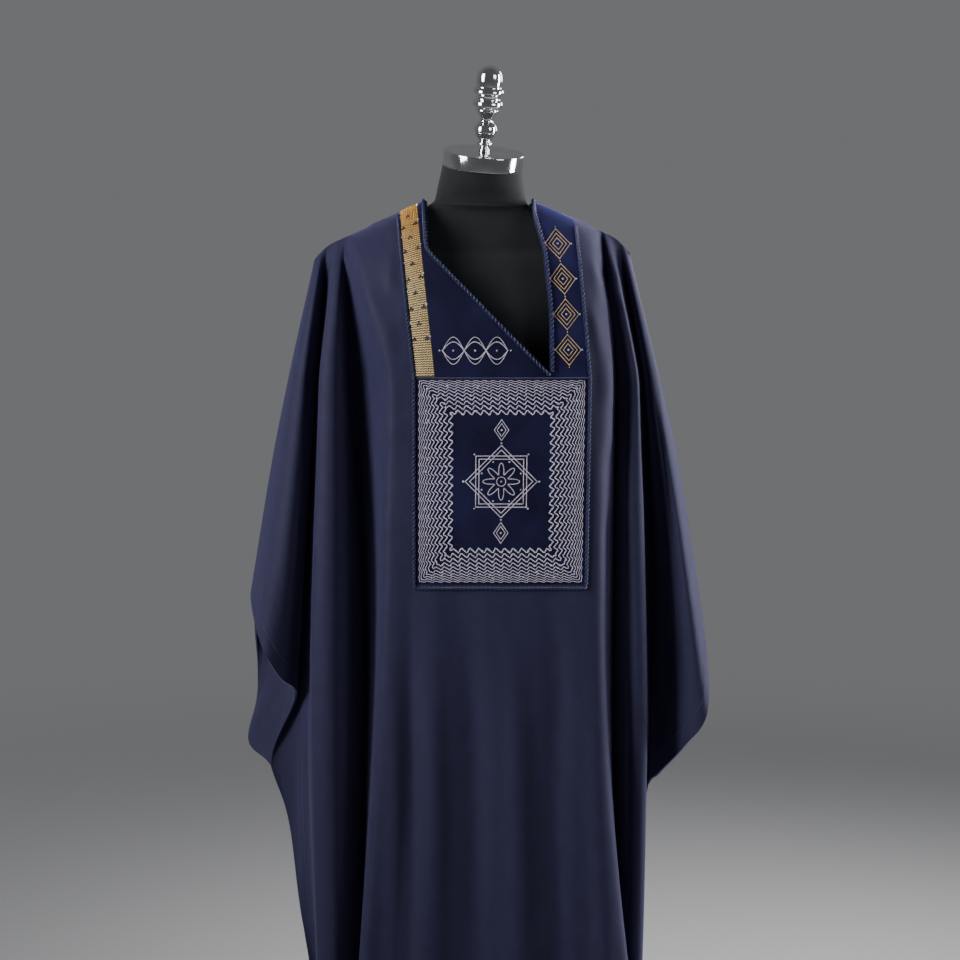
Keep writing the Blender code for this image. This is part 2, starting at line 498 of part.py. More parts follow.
def wall_solid(outer, inner):
    """Points and triangles of the wall between two grids of points."""
    rows, columns = outer.shape[:2]
    points = [*outer.reshape(-1, 3), *inner.reshape(-1, 3)]
    behind = rows * columns
    faces = []

    def index(i, j):
        return i * columns + j

    for i in range(rows - 1):
        for j in range(columns - 1):
            a, b, c, d = index(i, j), index(i, j + 1), index(i + 1, j + 1), index(i + 1, j)
            faces += [(a, b, c), (a, c, d)]
            faces += [(a + behind, c + behind, b + behind), (a + behind, d + behind, c + behind)]
    rim = [index(0, j) for j in range(columns)]
    rim += [index(i, columns - 1) for i in range(1, rows)]
    rim += [index(rows - 1, j) for j in range(columns - 2, -1, -1)]
    rim += [index(i, 0) for i in range(rows - 2, 0, -1)]
    for a, b in zip(rim, rim[1:] + rim[:1]):
        # The diagonal joins the same two corners on both pieces at a seam.
        if a < b:
            faces += [(b, a, a + behind), (b, a + behind, b + behind)]
        else:
            faces += [(b, a, b + behind), (a, a + behind, b + behind)]
    return points, faces


def part_of_sheet(sheet, rows, columns, low, high):
    """Outer and inner grids over these rows and columns, from low to high beyond the cloth's middle.

    Edges inside the sheet are drawn in by half a gap, squarely to the plane that halves the bend there.
    """
    grid, offset, side = sheet
    (top, bottom), (first, last) = rows, columns
    middle = grid[top : bottom + 1, first : last + 1].copy()
    out = offset[top : bottom + 1, first : last + 1]
    down = np.gradient(middle, axis=0)
    level = np.gradient(middle, axis=1)
    for edge, beside, inside in ((0, down, first > 0), (-1, down, last < grid.shape[1] - 1)):
        if inside:
            away = np.cross(out[:, edge], beside[:, edge])
            away /= np.linalg.norm(away, axis=1, keepdims=True)
            away *= np.sign((away * (middle[:, 1 if edge == 0 else -2] - middle[:, edge])).sum(axis=1))[:, None]
            middle[:, edge] += away * GAP / 2
    for edge, inside in ((0, top > 0), (-1, bottom < grid.shape[0] - 1)):
        if inside:
            away = middle[1 if edge == 0 else -2] - middle[edge]
            middle[edge] += away / np.linalg.norm(away, axis=1, keepdims=True) * GAP / 2
    outer = middle + out * high
    inner = middle + out * low
    for layer in (outer, inner):
        layer[..., 1] = side * np.maximum(side * layer[..., 1], GAP / 2)
    return outer, inner


def cut_neck(obj, outline, side):
    """Cuts the neck opening out of a piece with a prism of this outline."""
    near, far = (-0.40, 0.02) if side < 0 else (-0.02, 0.40)
    points = [(x, near, z) for x, z in outline] + [(x, far, z) for x, z in outline]
    n = len(outline)
    faces = [tuple(range(n)), tuple(range(2 * n - 1, n - 1, -1))]
    faces += [(k, (k + 1) % n, (k + 1) % n + n, k + n) for k in range(n)]
    cutter = add_object(obj.name + "_neck_cutter", points, faces, "suiting", smooth=False)
    cutter.hide_render = True
    cutter.display_type = "WIRE"
    cut = obj.modifiers.new("neck_opening", "BOOLEAN")
    cut.object = cutter
    cut.operation = "DIFFERENCE"
    cut.solver = "EXACT"


def column_of(lines, name):
    """The column of the grid at a line."""
    names = [line.name for line in lines]
    return sum(line.columns for line in lines[: names.index(name)])


def build_sheet(table, side, word, outline):
    """One side of the robe: its two sleeve pieces and the body piece between their seams."""
    lines = [Line(*row) for row in table]
    grid = sheet_points(lines, side)
    sheet = (grid, sheet_offsets(grid, side), side)
    right, left = column_of(lines, "right_seam"), column_of(lines, "left_seam")
    last_row, last_column = grid.shape[0] - 1, grid.shape[1] - 1
    ends = {
        "sleeve_right_" + word: (0, right),
        "body_" + word: (right, left),
        "sleeve_left_" + word: (left, last_column),
    }
    for name, columns in ends.items():
        outer, inner = part_of_sheet(sheet, (0, last_row), columns, -CLOTH / 2, CLOTH / 2)
        turned_up = np.clip(np.abs(outer[-1, :, 1:2]) / 0.03, 0, 1)
        inner[-2:] += (inner[-2:] - outer[-2:]) * turned_up * HEM_EXTRA / CLOTH
        inner[..., 1] = side * np.maximum(side * inner[..., 1], GAP / 2)
        points, faces = wall_solid(outer, inner)
        obj = add_object(name, points, faces, "suiting")
        if name.startswith("body"):
            cut_neck(obj, outline, side)
    return lines, sheet


# ---- what lies on the chest -------------------------------------------------------------------------------


def laid_piece(sheet, name, rows, columns, material_name):
    """A velvet or braid piece that lies on the cloth over these rows and columns of the sheet."""
    low = CLOTH / 2 + GAP
    outer, inner = part_of_sheet(sheet, rows, columns, low, low + VELVET)
    points, faces = wall_solid(outer, inner)
    return add_object(name, points, faces, material_name)


class Surface:
    """The outer face of the front cloth as triangles, found by where they lie seen from the front."""

    def __init__(self, sheet):
        grid, offset, _ = sheet
        rows, columns = grid.shape[:2]
        i, j = [value.ravel() for value in np.mgrid[: rows - 1, : columns - 1]]
        a, b, c, d = i * columns + j, i * columns + j + 1, (i + 1) * columns + j + 1, (i + 1) * columns + j
        self.corners = np.vstack([np.stack([a, b, c], 1), np.stack([a, c, d], 1)])
        self.points = grid.reshape(-1, 3)
        self.offsets = offset.reshape(-1, 3)
        flat = self.points[self.corners][:, :, [0, 2]]
        self.origin = flat[:, 0]
        self.inverse = np.zeros((len(flat), 2, 2))
        edges = np.stack([flat[:, 1] - flat[:, 0], flat[:, 2] - flat[:, 0]], axis=2)
        sound = np.abs(np.linalg.det(edges)) > 1e-9
        self.inverse[sound] = np.linalg.inv(edges[sound])
        self.sound = sound

    def find(self, x, z):
        """The triangle at (x, z), with the middle point of the cloth there and its outward step."""
        share = np.einsum("nij,nj->ni", self.inverse, np.array([x, z]) - self.origin)
        worst = np.minimum(np.minimum(share[:, 0], share[:, 1]), 1 - share.sum(axis=1))
        n = int(np.argmax(np.where(self.sound, worst, -np.inf)))
        weight = np.array([1 - share[n].sum(), *share[n]])
        return n, weight @ self.points[self.corners[n]], weight @ self.offsets[self.corners[n]]


def build_cord(surface, name, on_velvet, route):
    """A cord sewn along straight runs between (x, z) points. It bends where it crosses the cloth's facets."""
    seat = CLOTH / 2 + 1.5 * GAP + CORD_R * math.cos(math.pi / CORD_SIDES)
    if on_velvet:
        seat += VELVET + GAP
    kept = []
    for a, b in zip(route, route[1:]):
        a, b = np.array(a), np.array(b)
        length = float(np.linalg.norm(b - a))
        steps = max(2, round(length / 0.001))
        since = 0.0
        before = None
        for k in range(steps + 1):
            n, spot, out = surface.find(*(a + (b - a) * k / steps))
            crossed = before is not None and n != before
            before = n
            since += length / steps
            if k in (0, steps) or (crossed and since > 0.003) or since > CORD_STEP:
                if not kept or np.linalg.norm(spot - kept[-1][0]) > 0.0025:
                    kept.append((spot, out))
                    since = 0.0
    spots = np.array([spot + out * seat for spot, out in kept])
    outs = np.array([out for _, out in kept])
    along = np.gradient(spots, axis=0)
    along /= np.linalg.norm(along, axis=1, keepdims=True)
    beside = np.cross(along, outs)
    beside /= np.linalg.norm(beside, axis=1, keepdims=True)
    up = np.cross(beside, along)
    rings = []
    for spot, n, b in zip(spots, up, beside):
        angles = [2 * math.pi * (k + 0.5) / CORD_SIDES for k in range(CORD_SIDES)]
        rings.append([spot + CORD_R * (n * math.cos(a) + b * math.sin(a)) for a in angles])
    points, faces = ring_solid(rings)
    add_object(name, points, faces, "cord")


def build_bib(lines, sheet):
    """Velvet pieces, gold band and twisted cords on the chest."""
    column = {line.name: column_of(lines, line.name) for line in lines}
    chest, panel_end = SHOULDER_ROWS, SHOULDER_ROWS + PANEL_ROWS
    laid_piece(sheet, "gold_band", (0, chest), (column["band_right"], column["band_left"]), "gold_braid")
    neck = laid_piece(sheet, "neck_panel", (0, chest), (column["band_left"], column["opening_left"]), "velvet")
    cut_neck(neck, NECK_FRONT, -1)
    strip = laid_piece(sheet, "neck_strip", (1, chest), (column["opening_left"], column["bib_left_in"]), "velvet")
    cut_neck(strip, NECK_FRONT, -1)
    laid_piece(sheet, "chest_panel", (chest, panel_end), (column["band_right"], column["bib_left_in"]), "velvet")
    surface = Surface(sheet)
    for name, on_velvet, route in CORD_ROUTES:
        build_cord(surface, name, on_velvet, route)


clear_scene()
build_form()
build_neck_cap()
build_stand()
front_lines, front_sheet = build_sheet(FRONT_LINES, -1, "front", NECK_FRONT)
build_sheet(BACK_LINES, 1, "back", NECK_BACK)
build_bib(front_lines, front_sheet)
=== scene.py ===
"""Grand boubou robe of navy suiting on a limbless dress form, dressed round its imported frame.

Metres, +Z up, front towards -Y. "Right" and "left" are the wearer's, so right is at -X.
"""

import math

import bmesh
import bpy
import numpy as np
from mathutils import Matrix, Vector
from mathutils.bvhtree import BVHTree


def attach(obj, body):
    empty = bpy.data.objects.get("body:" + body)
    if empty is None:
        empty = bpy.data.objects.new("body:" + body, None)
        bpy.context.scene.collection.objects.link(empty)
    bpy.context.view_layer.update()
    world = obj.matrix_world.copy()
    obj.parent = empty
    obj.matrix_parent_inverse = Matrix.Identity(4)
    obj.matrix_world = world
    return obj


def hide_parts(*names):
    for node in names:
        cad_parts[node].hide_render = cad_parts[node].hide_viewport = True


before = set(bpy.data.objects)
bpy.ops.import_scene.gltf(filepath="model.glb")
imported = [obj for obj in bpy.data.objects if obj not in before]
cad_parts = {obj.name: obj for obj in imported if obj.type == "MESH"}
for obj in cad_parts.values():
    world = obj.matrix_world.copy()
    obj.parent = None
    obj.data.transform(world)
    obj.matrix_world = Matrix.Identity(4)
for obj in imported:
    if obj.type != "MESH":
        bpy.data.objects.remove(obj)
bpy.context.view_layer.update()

# ---- studio ------------------------------------------------------------------------------------------------
# A pale seamless floor under soft light: a tall key softbox high in front of the wearer's right, a brighter
# one beside the left sleeve, a third behind it and a weak fill in front. The camera looks slightly down.

CAMERA_AWAY, CAMERA_HEIGHT, CAMERA_DOWN = 3.4, 1.40, 4.75  # metres, metres and degrees
FLOOR_RADIUS = 14
# (name, place, aimed_at, width, height, watts, spread in degrees)
SOFTBOXES = (
    ("key_softbox", (-2.05, -1.30, 2.15), (0, 0, 1.55), 0.9, 2.1, 19, 75),
    ("fill_softbox", (2.1, -1.9, 2.2), (0.1, 0, 1.35), 1.0, 1.4, 6, 90),
    ("side_softbox", (2.7, 0.30, 1.7), (0, 0, 1.25), 0.8, 2.3, 56, 120),
    ("back_softbox", (2.1, 2.4, 2.4), (0, 0, 1.2), 1.2, 1.4, 26, 150),
)


def new_object(name, data):
    made = bpy.data.objects.new(name, data)
    bpy.context.scene.collection.objects.link(made)
    return made


def node_group(name, kind, inputs, outputs):
    """An empty node group, the sockets its inputs give and those its outputs take.

    Each label has its kind of socket, or a number where the input is a float with that value.
    """
    group = bpy.data.node_groups.new(name, kind)
    for label, given in inputs.items():
        is_number = not isinstance(given, str)
        socket_type = "NodeSocket" + ("Float" if is_number else given)
        socket = group.interface.new_socket(label, in_out="INPUT", socket_type=socket_type)
        if is_number:
            socket.default_value = given
    for label, given in outputs.items():
        group.interface.new_socket(label, in_out="OUTPUT", socket_type="NodeSocket" + given)
    return group, group.nodes.new("NodeGroupInput").outputs, group.nodes.new("NodeGroupOutput").inputs


def add_node(tree, kind, links=(), values=(), **settings):
    """A node with its settings, its inputs' values and what is linked into them.

    A kind without a prefix is a shader node's. A node given as a source stands for its first output.
    """
    node = tree.nodes.new(kind if "Node" in kind else "ShaderNode" + kind)
    for key, value in settings.items():
        setattr(node, key, value)
    for key, value in dict(values).items():
        node.inputs[key].default_value = value
    for key, source in dict(links).items():
        tree.links.new(source.outputs[0] if hasattr(source, "outputs") else source, node.inputs[key])
    return node


def finish_of(name, roughness, metallic=0.0, **more):
    """A new material, its node tree and its Principled shader. more sets shader sockets by name."""
    made = bpy.data.materials.new(name)
    made.use_nodes = True
    shader = made.node_tree.nodes["Principled BSDF"]
    shader.inputs["Roughness"].default_value = roughness
    shader.inputs["Metallic"].default_value = metallic
    for key, value in more.items():
        shader.inputs[key.replace("_", " ")].default_value = value
    return made, made.node_tree, shader


camera = new_object("camera", bpy.data.cameras.new("camera"))
camera.location = (0, -CAMERA_AWAY, CAMERA_HEIGHT)
camera.rotation_euler = (math.radians(90 - CAMERA_DOWN), 0, 0)
camera.data.lens = 85
camera.data.sensor_width = 36
bpy.context.scene.camera = camera
for name, place, aimed_at, width, height, watts, spread in SOFTBOXES:
    lamp = bpy.data.lights.new(name, "AREA")
    lamp.shape = "RECTANGLE"
    lamp.size, lamp.size_y, lamp.energy, lamp.spread = width, height, watts, math.radians(spread)
    softbox = new_object(name, lamp)
    softbox.location = place
    softbox.rotation_euler = (Vector(aimed_at) - Vector(place)).to_track_quat("-Z", "Y").to_euler()

# The air is pale behind the robe and darker behind the camera, which polished metal needs to show its shape.
air, given, put = node_group("air_by_way", "ShaderNodeTree", {"Way": "Vector"}, {"Light": "Color"})
level = add_node(air, "VectorMath", {0: given["Way"]}, operation="NORMALIZE")
back = add_node(air, "SeparateXYZ", {0: level})
behind = add_node(
    air, "MapRange", {"Value": back.outputs["Y"]},
    {"From Min": -0.35, "From Max": 0.55, "To Min": 0.11, "To Max": 0.20}, interpolation_type="SMOOTHSTEP",
)
tinted = add_node(air, "VectorMath", {"Scale": behind}, {0: (0.80, 0.81, 0.84)}, operation="SCALE")
air.links.new(tinted.outputs[0], put["Light"])

world = bpy.data.worlds.new("studio_air")
world.use_nodes = True
tree = world.node_tree
way = add_node(tree, "TexCoord")
lit = add_node(tree, "Group", {0: way.outputs["Generated"]}, node_tree=air)
tree.links.new(lit.outputs[0], tree.nodes["Background"].inputs["Color"])
bpy.context.scene.world = world

# Far from the robe the floor fades into the same air.
paper, tree, shader = finish_of("pale_paper", 0.9, Specular_IOR_Level=0.0, Emission_Strength=1.0)
place = add_node(tree, "TexCoord").outputs["Object"]
away = add_node(tree, "VectorMath", {0: place}, operation="LENGTH")
fade = add_node(
    tree, "MapRange", {"Value": away.outputs["Value"]}, {"From Min": 1.2, "From Max": 5.0},
    interpolation_type="SMOOTHSTEP",
)
lit = add_node(tree, "Group", {0: place}, node_tree=air)
near = add_node(tree, "Mix", {0: fade}, {6: (0.62, 0.62, 0.63, 1), 7: (0, 0, 0, 1)}, data_type="RGBA")
far = add_node(tree, "Mix", {0: fade, 7: lit}, {6: (0, 0, 0, 1)}, data_type="RGBA")
tree.links.new(near.outputs[2], shader.inputs["Base Color"])
tree.links.new(far.outputs[2], shader.inputs["Emission Color"])
floor_mesh = bpy.data.meshes.new("studio_floor")
turns = [k * math.pi / 32 for k in range(64)]
rim = [(FLOOR_RADIUS * math.cos(turn), FLOOR_RADIUS * math.sin(turn), 0) for turn in turns]
floor_mesh.from_pydata(rim, [], [range(64)])
floor_mesh.materials.append(paper)
floor = new_object("studio_floor", floor_mesh)

# ---- robe cloth: how it hangs ------------------------------------------------------------------------------
# The robe is wide worsted suiting folded over the shoulders, so that front and back hang from the same fold.
# Lines run down the cloth from that fold over chest or back to its edge, and each main fold has one.

CLOTH = 0.0020  # thickness of the suiting, with its turned edges
CLEARANCE = 0.0045  # least distance from the form to the middle of the cloth beside it
NECK_POINT = (0.079, 1.535)  # x and z of the shoulder fold beside the neck
SHOULDER_FALL = 0.447  # how far the fold falls for each metre outwards
TIP_X = (0.216, 0.192)  # where the right and the left shoulder round over
TIP_FALL = 14.0  # how far it falls past there, for the distance squared
CHEST_Z, PANEL_Z, HEM_Z = 1.276, 0.979, 0.120  # top and foot of the chest panel, and the hem
CELL, SLEEVE_CELL = 0.0050, 0.0062  # width of the cloth's cells on the body and on the sleeves
BODY_X = (-0.195, 0.180)  # where on the shoulder fold the body's lines begin and end
ROWS_OVER, ROWS_PANEL, ROWS_BELOW = 46, 44, 126  # cells from fold to chest, beside the panel and below it
SMOOTH_DOWN, SMOOTH_ACROSS = 2.2, 0.8  # how far the cloth is smoothed each way, in cells
FADE = 0.03  # over which folds and waves fade out
WAVE_HEIGHT = 0.0016
BIB_X, BIB_REACH = 0.03, 0.17  # middle of the bib, and how far from there it holds the cloth flat
SLEEVE_X, SLEEVE_FADE = 0.175, 0.05  # from where the waves fade on the sleeves, and over what width
BIB_STILLS, SLEEVE_STILLS = 0.85, 0.8  # the share of the waves that goes there
EDGE_KEEPS = 0.4  # the share of their height that folds and waves keep at the cloth's edge
ACROSS = np.array([1, -1, 1])  # makes a point its mirror image at y = 0

# (name, round_over, x_top, x_chest, y_chest, x_mid, y_mid, z_mid, x_end, y_end, z_end)
FRONT_LINES = (
    ("right_top_fold", 2.0, -0.2460, -0.2850, 0.000, -0.3090, 0.000, 1.16, -0.3450, 0.000, 0.949),
    ("right_outer_ridge", 2.0, -0.2415, -0.2720, -0.062, -0.3060, -0.114, 0.98, -0.3160, -0.127, 0.880),
    ("right_outer_ridge_in", 2.0, -0.2370, -0.2580, -0.070, -0.2840, -0.118, 0.95, -0.2940, -0.117, 0.838),
    ("right_cuff_valley", 2.0, -0.2330, -0.2480, -0.040, -0.2660, -0.050, 0.94, -0.2740, -0.052, 0.800),
    ("right_cuff_end", 2.0, -0.2290, -0.2430, -0.018, -0.2830, -0.014, 0.82, -0.3180, 0.000, 0.682),
    ("right_side_high", 2.0, -0.2250, -0.2400, -0.022, -0.2720, -0.024, 0.80, -0.2930, 0.000, 0.606),
    ("right_side_low", 2.0, -0.2205, -0.2370, -0.030, -0.2620, -0.044, 0.74, -0.2740, 0.000, 0.460),
    ("right_side_hem", 2.0, -0.2160, -0.2350, -0.056, -0.2510, -0.090, 0.70, -0.2250, 0.000, 0.135),
    ("right_inner_ridge_out", 2.0, -0.2115, -0.2320, -0.092, -0.2430, -0.136, 0.80, -0.2350, -0.090, 0.128),
    ("right_inner_ridge", 2.0, -0.2060, -0.2140, -0.098, -0.2130, -0.144, 0.80, -0.2130, -0.105, 0.124),
    ("right_seam", 1.2, -0.2000, -0.1900, -0.046, -0.1710, -0.022, 0.90, -0.1860, -0.020, 0.120),
    ("right_panel_edge_side", 1.1, -0.1900, -0.1340, -0.118, -0.1440, -0.140, 0.90, -0.1990, -0.156, 0.120),
    ("right_panel_edge", 1.1, -0.1840, -0.1270, -0.126, -0.1370, -0.151, 0.90, -0.1910, -0.170, 0.120),
    ("bib_right", 1.0, -0.1240, -0.0985, -0.132, -0.0985, -0.149, 0.97, -0.1480, -0.161, 0.120),
    ("band_right", 1.0, -0.1180, -0.0915, -0.133, -0.0915, -0.150, 0.97, -0.1370, -0.165, 0.120),
    ("band_left", 1.0, -0.0920, -0.0640, -0.136, -0.0640, -0.153, 0.97, -0.1000, -0.182, 0.120),
    ("flute_valley", 1.0, -0.0450, -0.0100, -0.138, -0.0120, -0.151, 0.97, -0.0250, -0.160, 0.120),
    ("flute_ridge", 1.0, 0.0100, 0.0450, -0.138, 0.0450, -0.154, 0.97, 0.0550, -0.182, 0.120),
    ("opening_left", 1.0, 0.0730, 0.1005, -0.136, 0.1000, -0.151, 0.97, 0.1280, -0.162, 0.120),
    ("bib_left_in", 1.0, 0.1370, 0.1550, -0.130, 0.1500, -0.153, 0.97, 0.1870, -0.179, 0.120),
    ("bib_left", 1.0, 0.1435, 0.1615, -0.128, 0.1560, -0.153, 0.97, 0.1960, -0.180, 0.120),
    ("left_panel_edge", 1.1, 0.1600, 0.1750, -0.121, 0.1740, -0.151, 0.94, 0.2430, -0.170, 0.120),
    ("left_panel_side", 1.3, 0.1710, 0.1860, -0.104, 0.1840, -0.124, 0.90, 0.2430, -0.128, 0.120),
    ("left_seam", 1.8, 0.1810, 0.2020, -0.044, 0.2000, -0.026, 0.80, 0.2080, -0.014, 0.120),
    ("left_inner_ridge_in", 1.8, 0.1855, 0.2170, -0.090, 0.2230, -0.120, 0.80, 0.2290, -0.048, 0.124),
    ("left_inner_ridge", 2.0, 0.1895, 0.2290, -0.096, 0.2390, -0.126, 0.80, 0.2360, -0.040, 0.128),
    ("left_side_hem", 2.0, 0.1935, 0.2330, -0.062, 0.2440, -0.078, 0.70, 0.2250, 0.000, 0.135),
    ("left_side_low", 2.0, 0.1975, 0.2360, -0.038, 0.2460, -0.046, 0.76, 0.2300, 0.000, 0.480),
    ("left_side_high", 2.0, 0.2015, 0.2390, -0.030, 0.2510, -0.036, 0.80, 0.2430, 0.000, 0.560),
    ("left_cuff_end", 2.0, 0.2055, 0.2420, -0.028, 0.2580, -0.034, 0.84, 0.2560, 0.000, 0.652),
    ("left_cuff_valley", 2.0, 0.2095, 0.2450, -0.036, 0.2650, -0.050, 0.90, 0.2660, -0.054, 0.680),
    ("left_outer_ridge_in", 2.0, 0.2135, 0.2500, -0.066, 0.2860, -0.104, 0.92, 0.3010, -0.108, 0.733),
    ("left_outer_ridge", 2.0, 0.2175, 0.2600, -0.060, 0.3060, -0.114, 0.95, 0.3310, -0.122, 0.779),
    ("left_top_fold", 2.0, 0.2225, 0.2660, 0.000, 0.2920, 0.000, 1.17, 0.3280, 0.000, 0.951),
)
BACK_LINES = (
    ("right_top_fold", 2.0, -0.2460, -0.2850, 0.000, -0.3090, 0.000, 1.16, -0.3450, 0.000, 0.949),
    ("right_outer_ridge", 2.0, -0.2415, -0.2740, 0.060, -0.3180, 0.106, 0.98, -0.3500, 0.108, 0.860),
    ("right_outer_ridge_in", 2.0, -0.2370, -0.2600, 0.068, -0.2980, 0.114, 0.92, -0.3470, 0.108, 0.770),
    ("right_cuff_corner", 2.0, -0.2330, -0.2480, 0.042, -0.2860, 0.070, 0.86, -0.3550, 0.050, 0.708),
    ("right_cuff_end", 2.0, -0.2290, -0.2430, 0.022, -0.2780, 0.022, 0.84, -0.3180, 0.000, 0.682),
    ("right_side_high", 2.0, -0.2250, -0.2400, 0.026, -0.2700, 0.028, 0.82, -0.2930, 0.000, 0.606),
    ("right_side_low", 2.0, -0.2205, -0.2370, 0.034, -0.2620, 0.052, 0.74, -0.2740, 0.000, 0.460),
    ("right_side_hem", 2.0, -0.2160, -0.2350, 0.058, -0.2510, 0.090, 0.70, -0.2250, 0.000, 0.135),
    ("right_inner_ridge_out", 2.0, -0.2115, -0.2310, 0.094, -0.2400, 0.136, 0.80, -0.2330, 0.088, 0.128),
    ("right_inner_ridge", 2.0, -0.2060, -0.2190, 0.102, -0.2240, 0.144, 0.80, -0.2220, 0.098, 0.124),
    ("right_seam", 1.2, -0.2000, -0.1920, 0.052, -0.1800, 0.036, 0.84, -0.1900, 0.022, 0.120),
    ("right_panel_edge_side", 1.1, -0.1900, -0.1500, 0.112, -0.1560, 0.138, 0.84, -0.1980, 0.150, 0.120),
    ("right_panel_edge", 1.1, -0.1840, -0.1440, 0.124, -0.1480, 0.150, 0.84, -0.1900, 0.166, 0.120),
    ("flute_a", 1.0, -0.1400, -0.1020, 0.133, -0.1080, 0.146, 0.84, -0.1400, 0.152, 0.120),
    ("flute_b", 1.0, -0.0800, -0.0560, 0.136, -0.0600, 0.158, 0.84, -0.0800, 0.182, 0.120),
    ("flute_c", 1.0, -0.0200, -0.0050, 0.136, -0.0060, 0.145, 0.84, -0.0100, 0.150, 0.120),
    ("flute_d", 1.0, 0.0500, 0.0460, 0.136, 0.0520, 0.158, 0.84, 0.0660, 0.184, 0.120),
    ("flute_e", 1.0, 0.1150, 0.0980, 0.132, 0.1050, 0.147, 0.84, 0.1320, 0.154, 0.120),
    ("left_panel_edge", 1.1, 0.1600, 0.1420, 0.123, 0.1500, 0.151, 0.84, 0.1950, 0.168, 0.120),
    ("left_panel_edge_side", 1.1, 0.1700, 0.1490, 0.112, 0.1580, 0.138, 0.84, 0.2030, 0.152, 0.120),
    ("left_seam", 1.8, 0.1810, 0.1900, 0.050, 0.1840, 0.036, 0.82, 0.1980, 0.022, 0.120),
    ("left_inner_ridge", 1.8, 0.1855, 0.2180, 0.100, 0.2240, 0.136, 0.80, 0.2220, 0.088, 0.124),
    ("left_inner_ridge_out", 2.0, 0.1895, 0.2290, 0.094, 0.2390, 0.126, 0.80, 0.2330, 0.076, 0.128),
    ("left_side_hem", 2.0, 0.1935, 0.2330, 0.060, 0.2440, 0.080, 0.70, 0.2250, 0.000, 0.135),
    ("left_side_low", 2.0, 0.1975, 0.2360, 0.038, 0.2460, 0.050, 0.76, 0.2300, 0.000, 0.480),
    ("left_side_high", 2.0, 0.2015, 0.2390, 0.030, 0.2510, 0.036, 0.80, 0.2430, 0.000, 0.560),
    ("left_cuff_end", 2.0, 0.2055, 0.2420, 0.028, 0.2580, 0.034, 0.84, 0.2560, 0.000, 0.652),
    ("left_cuff_valley", 2.0, 0.2095, 0.2450, 0.036, 0.2650, 0.050, 0.90, 0.2720, 0.052, 0.680),
    ("left_outer_ridge_in", 2.0, 0.2135, 0.2520, 0.068, 0.2860, 0.104, 0.92, 0.2980, 0.106, 0.722),
    ("left_outer_ridge", 2.0, 0.2175, 0.2620, 0.060, 0.3060, 0.112, 0.95, 0.3270, 0.124, 0.768),
    ("left_top_fold", 2.0, 0.2225, 0.2660, 0.000, 0.2920, 0.000, 1.17, 0.3280, 0.000, 0.951),
)
# The form's level sections: (height, half_width, half_depth, centre_x, centre_y, forward_tilt in degrees)
FORM_SECTIONS = np.array((
    (0.800, 0.150, 0.105, 0.000, 0.000, 0), (0.830, 0.162, 0.114, 0.000, 0.000, 0),
    (0.890, 0.164, 0.116, 0.000, 0.000, 0), (0.970, 0.154, 0.110, 0.000, 0.000, 0),
    (1.060, 0.144, 0.104, 0.000, 0.000, 0), (1.150, 0.150, 0.109, -0.002, 0.000, 0),
    (1.240, 0.160, 0.116, -0.004, 0.000, 0), (1.310, 0.172, 0.112, -0.006, 0.000, 0),
    (1.370, 0.186, 0.100, -0.008, 0.000, 0), (1.415, 0.192, 0.078, -0.012, 0.000, 0),
    (1.445, 0.194, 0.060, -0.013, 0.000, 0), (1.464, 0.187, 0.046, -0.011, 0.000, 0),
    (1.480, 0.178, 0.042, -0.005, 0.000, 0), (1.496, 0.1555, 0.038, 0.000, 0.000, 0),
    (1.511, 0.1215, 0.034, 0.000, 0.000, 0), (1.521, 0.0965, 0.031, 0.000, -0.001, 1),
    (1.527, 0.0770, 0.033, 0.001, -0.002, 3), (1.534, 0.0680, 0.042, 0.001, -0.006, 6),
    (1.550, 0.0650, 0.053, 0.002, -0.013, 10), (1.568, 0.0615, 0.0580, 0.003, -0.019, 12),
    (1.584, 0.0590, 0.0570, 0.004, -0.023, 13),
))
FORM_ROUNDNESS = 2.25  # 2 would make its sections ellipses, and more makes them squarer
# The cloth is kept off the form up to FORM_SHOULDER_Z and, away from its neck, up to FORM_NECK_Z.
FORM_NECK_Z, FORM_SHOULDER_Z = 1.54, 1.46


def unit(vectors):
    return vectors / np.maximum(np.linalg.norm(vectors, axis=-1, keepdims=True), 1e-9)


def between(start, leaving, end, arriving, t):
    """The smooth curve from start to end, for t from 0 to 1, with these slopes at its two ends."""
    return (
        (2 * t**3 - 3 * t**2 + 1) * start
        + (t**3 - 2 * t**2 + t) * leaving
        + (3 * t**2 - 2 * t**3) * end
        + (t**3 - t**2) * arriving
    )


def through(keys, values, at):
    """Values at new keys, on a smooth curve through the given ones that doesn't overshoot them."""
    keys, values = np.asarray(keys, float), np.asarray(values, float)
    if keys[0] > keys[-1]:
        keys, values = keys[::-1], values[::-1]
    slope = np.diff(values) / np.diff(keys)
    tangent = np.zeros(len(keys))
    for i in range(1, len(keys) - 1):
        if slope[i - 1] * slope[i] > 0:
            tangent[i] = 2 * slope[i - 1] * slope[i] / (slope[i - 1] + slope[i])
    tangent[0], tangent[-1] = slope[0], slope[-1]
    at = np.clip(np.asarray(at, float), keys[0], keys[-1])
    i = np.clip(np.searchsorted(keys, at, side="right") - 1, 0, len(keys) - 2)
    width = keys[i + 1] - keys[i]
    t = (at - keys[i]) / width
    return between(values[i], tangent[i] * width, values[i + 1], tangent[i + 1] * width, t)


